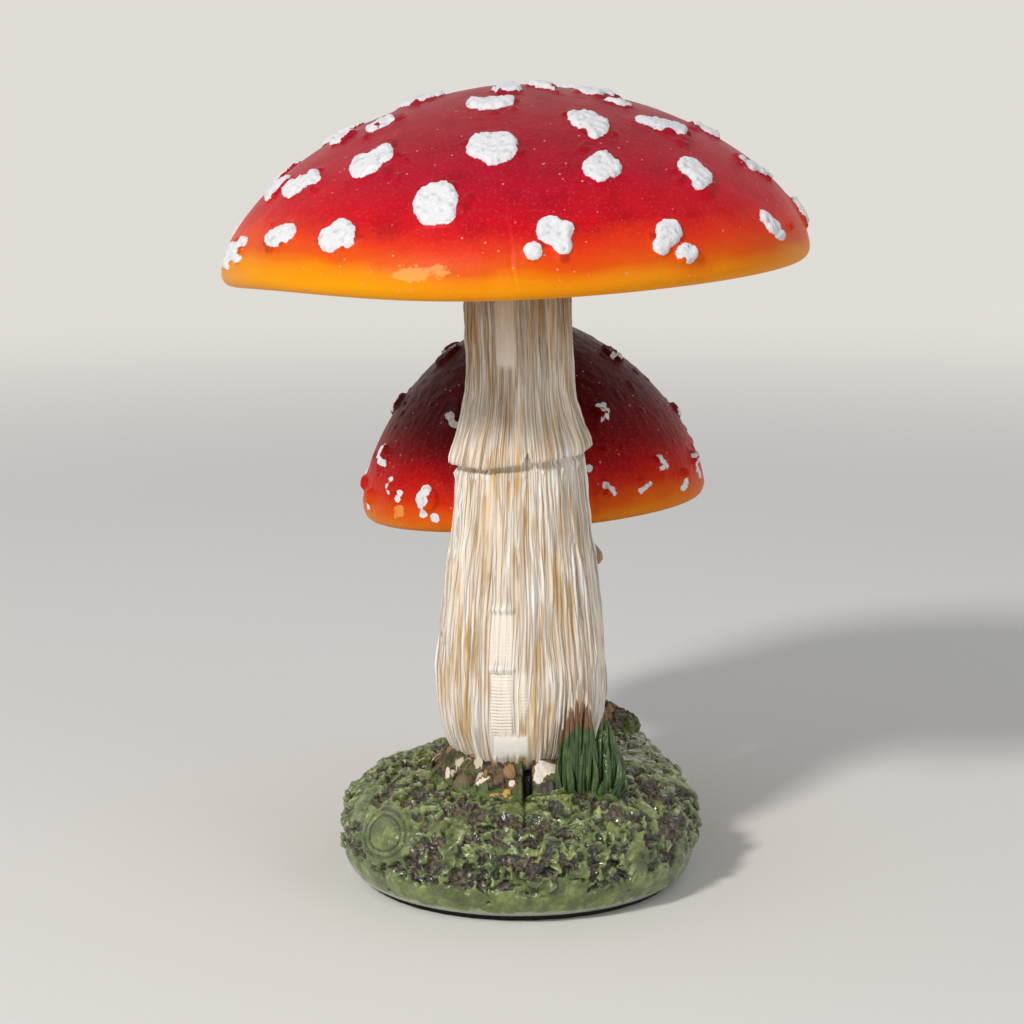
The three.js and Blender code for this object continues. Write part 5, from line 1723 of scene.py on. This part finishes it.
def grass_paint(*pieces):
    paint = Finish("glossy_grass")
    tip = paint.fact("tip")
    streak = paint.noise(0.8, 3.0, stretch=(1, 1, 0.15))
    # painted shade along blade edges and the crease, darkening both the green and the brown tips
    crease = paint.fact("crease").limited() * 0.85
    ends = paint.fact("pale") + 0.22 * (streak - 0.5)
    cream = (ends - 0.2).between(0, 0.05) * (0.45 + 0.55 * streak.between(0.4, 0.55))
    colour = paint.layered(
        paint.mix(streak.between(0.4, 0.65), GRASS, GRASS_LIGHT),
        ((0.3 - tip).between(0.0, 0.3) * 0.5, GRASS_DEEP),
        (crease, GRASS_DEEP),
        (ends.between(0.0, 0.06), paint.mix(crease * 0.7, TIP_BROWN, srgb(66, 42, 26))),
        (cream, TIP),
    )
    paint.give(
        *pieces,
        Base_Color=colour,
        Roughness=0.16 + 0.3 * ends.between(0.0, 0.1),
        Normal=paint.relief(streak, 0.4, 0.9),
    )


grass_paint(left_tuft, right_tuft)

# %% [markdown]
# Two finishes stay hidden in use and are still real: the black foam pad under the mound, a matt
# closed-cell sheet, and the steel rods inside the joints, drawn bright along their length.

# %% Foam and steel


def foam_paint():
    paint = Finish("black_foam")
    pores = paint.crumbs(0.5)
    tone = paint.noise(6, 2.0)
    colour = paint.mix(pores.between(0.2, 0.6), srgb(30, 30, 29), srgb(16, 16, 16))
    colour = paint.mix(tone.between(0.5, 0.8) * 0.4, colour, srgb(52, 50, 46))
    paint.give(
        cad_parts["base_pad"],
        Base_Color=colour,
        Roughness=0.86 + 0.1 * (pores - 0.5),
        Normal=paint.relief(pores, 0.12),
    )


def steel_finish():
    paint = Finish("drawn_steel", Metallic=1.0)
    lines = paint.noise(0.3, 3.0, stretch=(1, 1, 0.04))
    stain = paint.noise(5, 3.0)
    colour = paint.mix(stain.between(0.45, 0.8) * 0.4, srgb(206, 208, 212), srgb(150, 148, 144))
    rods = [node for name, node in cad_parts.items() if name.endswith("dowel")]
    paint.give(
        *rods,
        Base_Color=colour,
        Roughness=0.28 + 0.22 * (lines - 0.5),
        Normal=paint.relief(lines, 0.03, 0.5),
    )


foam_paint()
steel_finish()

# %% [markdown]
# The studio is one round sheet of pale paper. A real one would curve up behind the ornament, which
# only works from one side, so this one fades into the colour of the room instead. From about half a
# metre on, the camera and anything glossy or clear see that plain colour, on the paper and in the
# world alike, so no horizon shows. Other rays still meet paper, as if the sheet went on. A lamp
# stands at the front left, a weaker one fills from the right, and the room gives an even, pale light.

# %% Studio
SHEET_RADIUS = 5.0
FADE_FROM, FADE_TO = 350, 850
ROOM_COLOUR = srgb(224, 220, 214)
ROOM_RAYS = ("Is Camera Ray", "Is Glossy Ray", "Is Transmission Ray")


def studio_sheet():
    bpy.ops.mesh.primitive_circle_add(vertices=96, radius=SHEET_RADIUS, fill_type="NGON")
    sheet = bpy.context.object
    sheet.name = "studio_sheet"
    paper = Finish("studio_paper", Roughness=0.9, Specular_IOR_Level=0.2)
    cloud = paper.noise(300, 2.0)
    paper.give(sheet, Base_Color=paper.mix(cloud * 0.3, srgb(240, 238, 234), srgb(230, 228, 224)))
    away = paper.node("ShaderNodeVectorMath", {"operation": "LENGTH"}, {0: paper.place()}, "Value")
    paper.seen_as("ShaderNodeEmission", ROOM_COLOUR, ROOM_RAYS, away.between(FADE_FROM, FADE_TO))


def lamp(name, place, aim, size, watts, colour):
    """A round lamp that looks at the ornament at this height."""
    light = bpy.data.lights.new(name, "AREA")
    light.shape = "DISK"
    light.size = size
    light.energy = watts
    light.color = colour
    made = bpy.data.objects.new(name, light)
    made.location = place
    made.rotation_euler = (Vector((0, 0, aim)) - Vector(place)).to_track_quat("-Z", "Y").to_euler()
    bpy.context.scene.collection.objects.link(made)


studio_sheet()
lamp("key_lamp", (-0.64, -0.89, 0.84), aim=0.09, size=0.18, watts=11.2, colour=(1.0, 0.97, 0.93))
lamp("fill_lamp", (0.9, -0.8, 0.5), aim=0.08, size=0.9, watts=1.8, colour=(0.96, 0.98, 1.0))

room = Finish("pale_room", bpy.data.worlds, Color=(0.95, 0.97, 1.0, 1), Strength=0.4)
room.seen_as("ShaderNodeBackground", ROOM_COLOUR, ROOM_RAYS, 1)
bpy.context.scene.world = room.material
bpy.context.scene.view_settings.view_transform = "Standard"
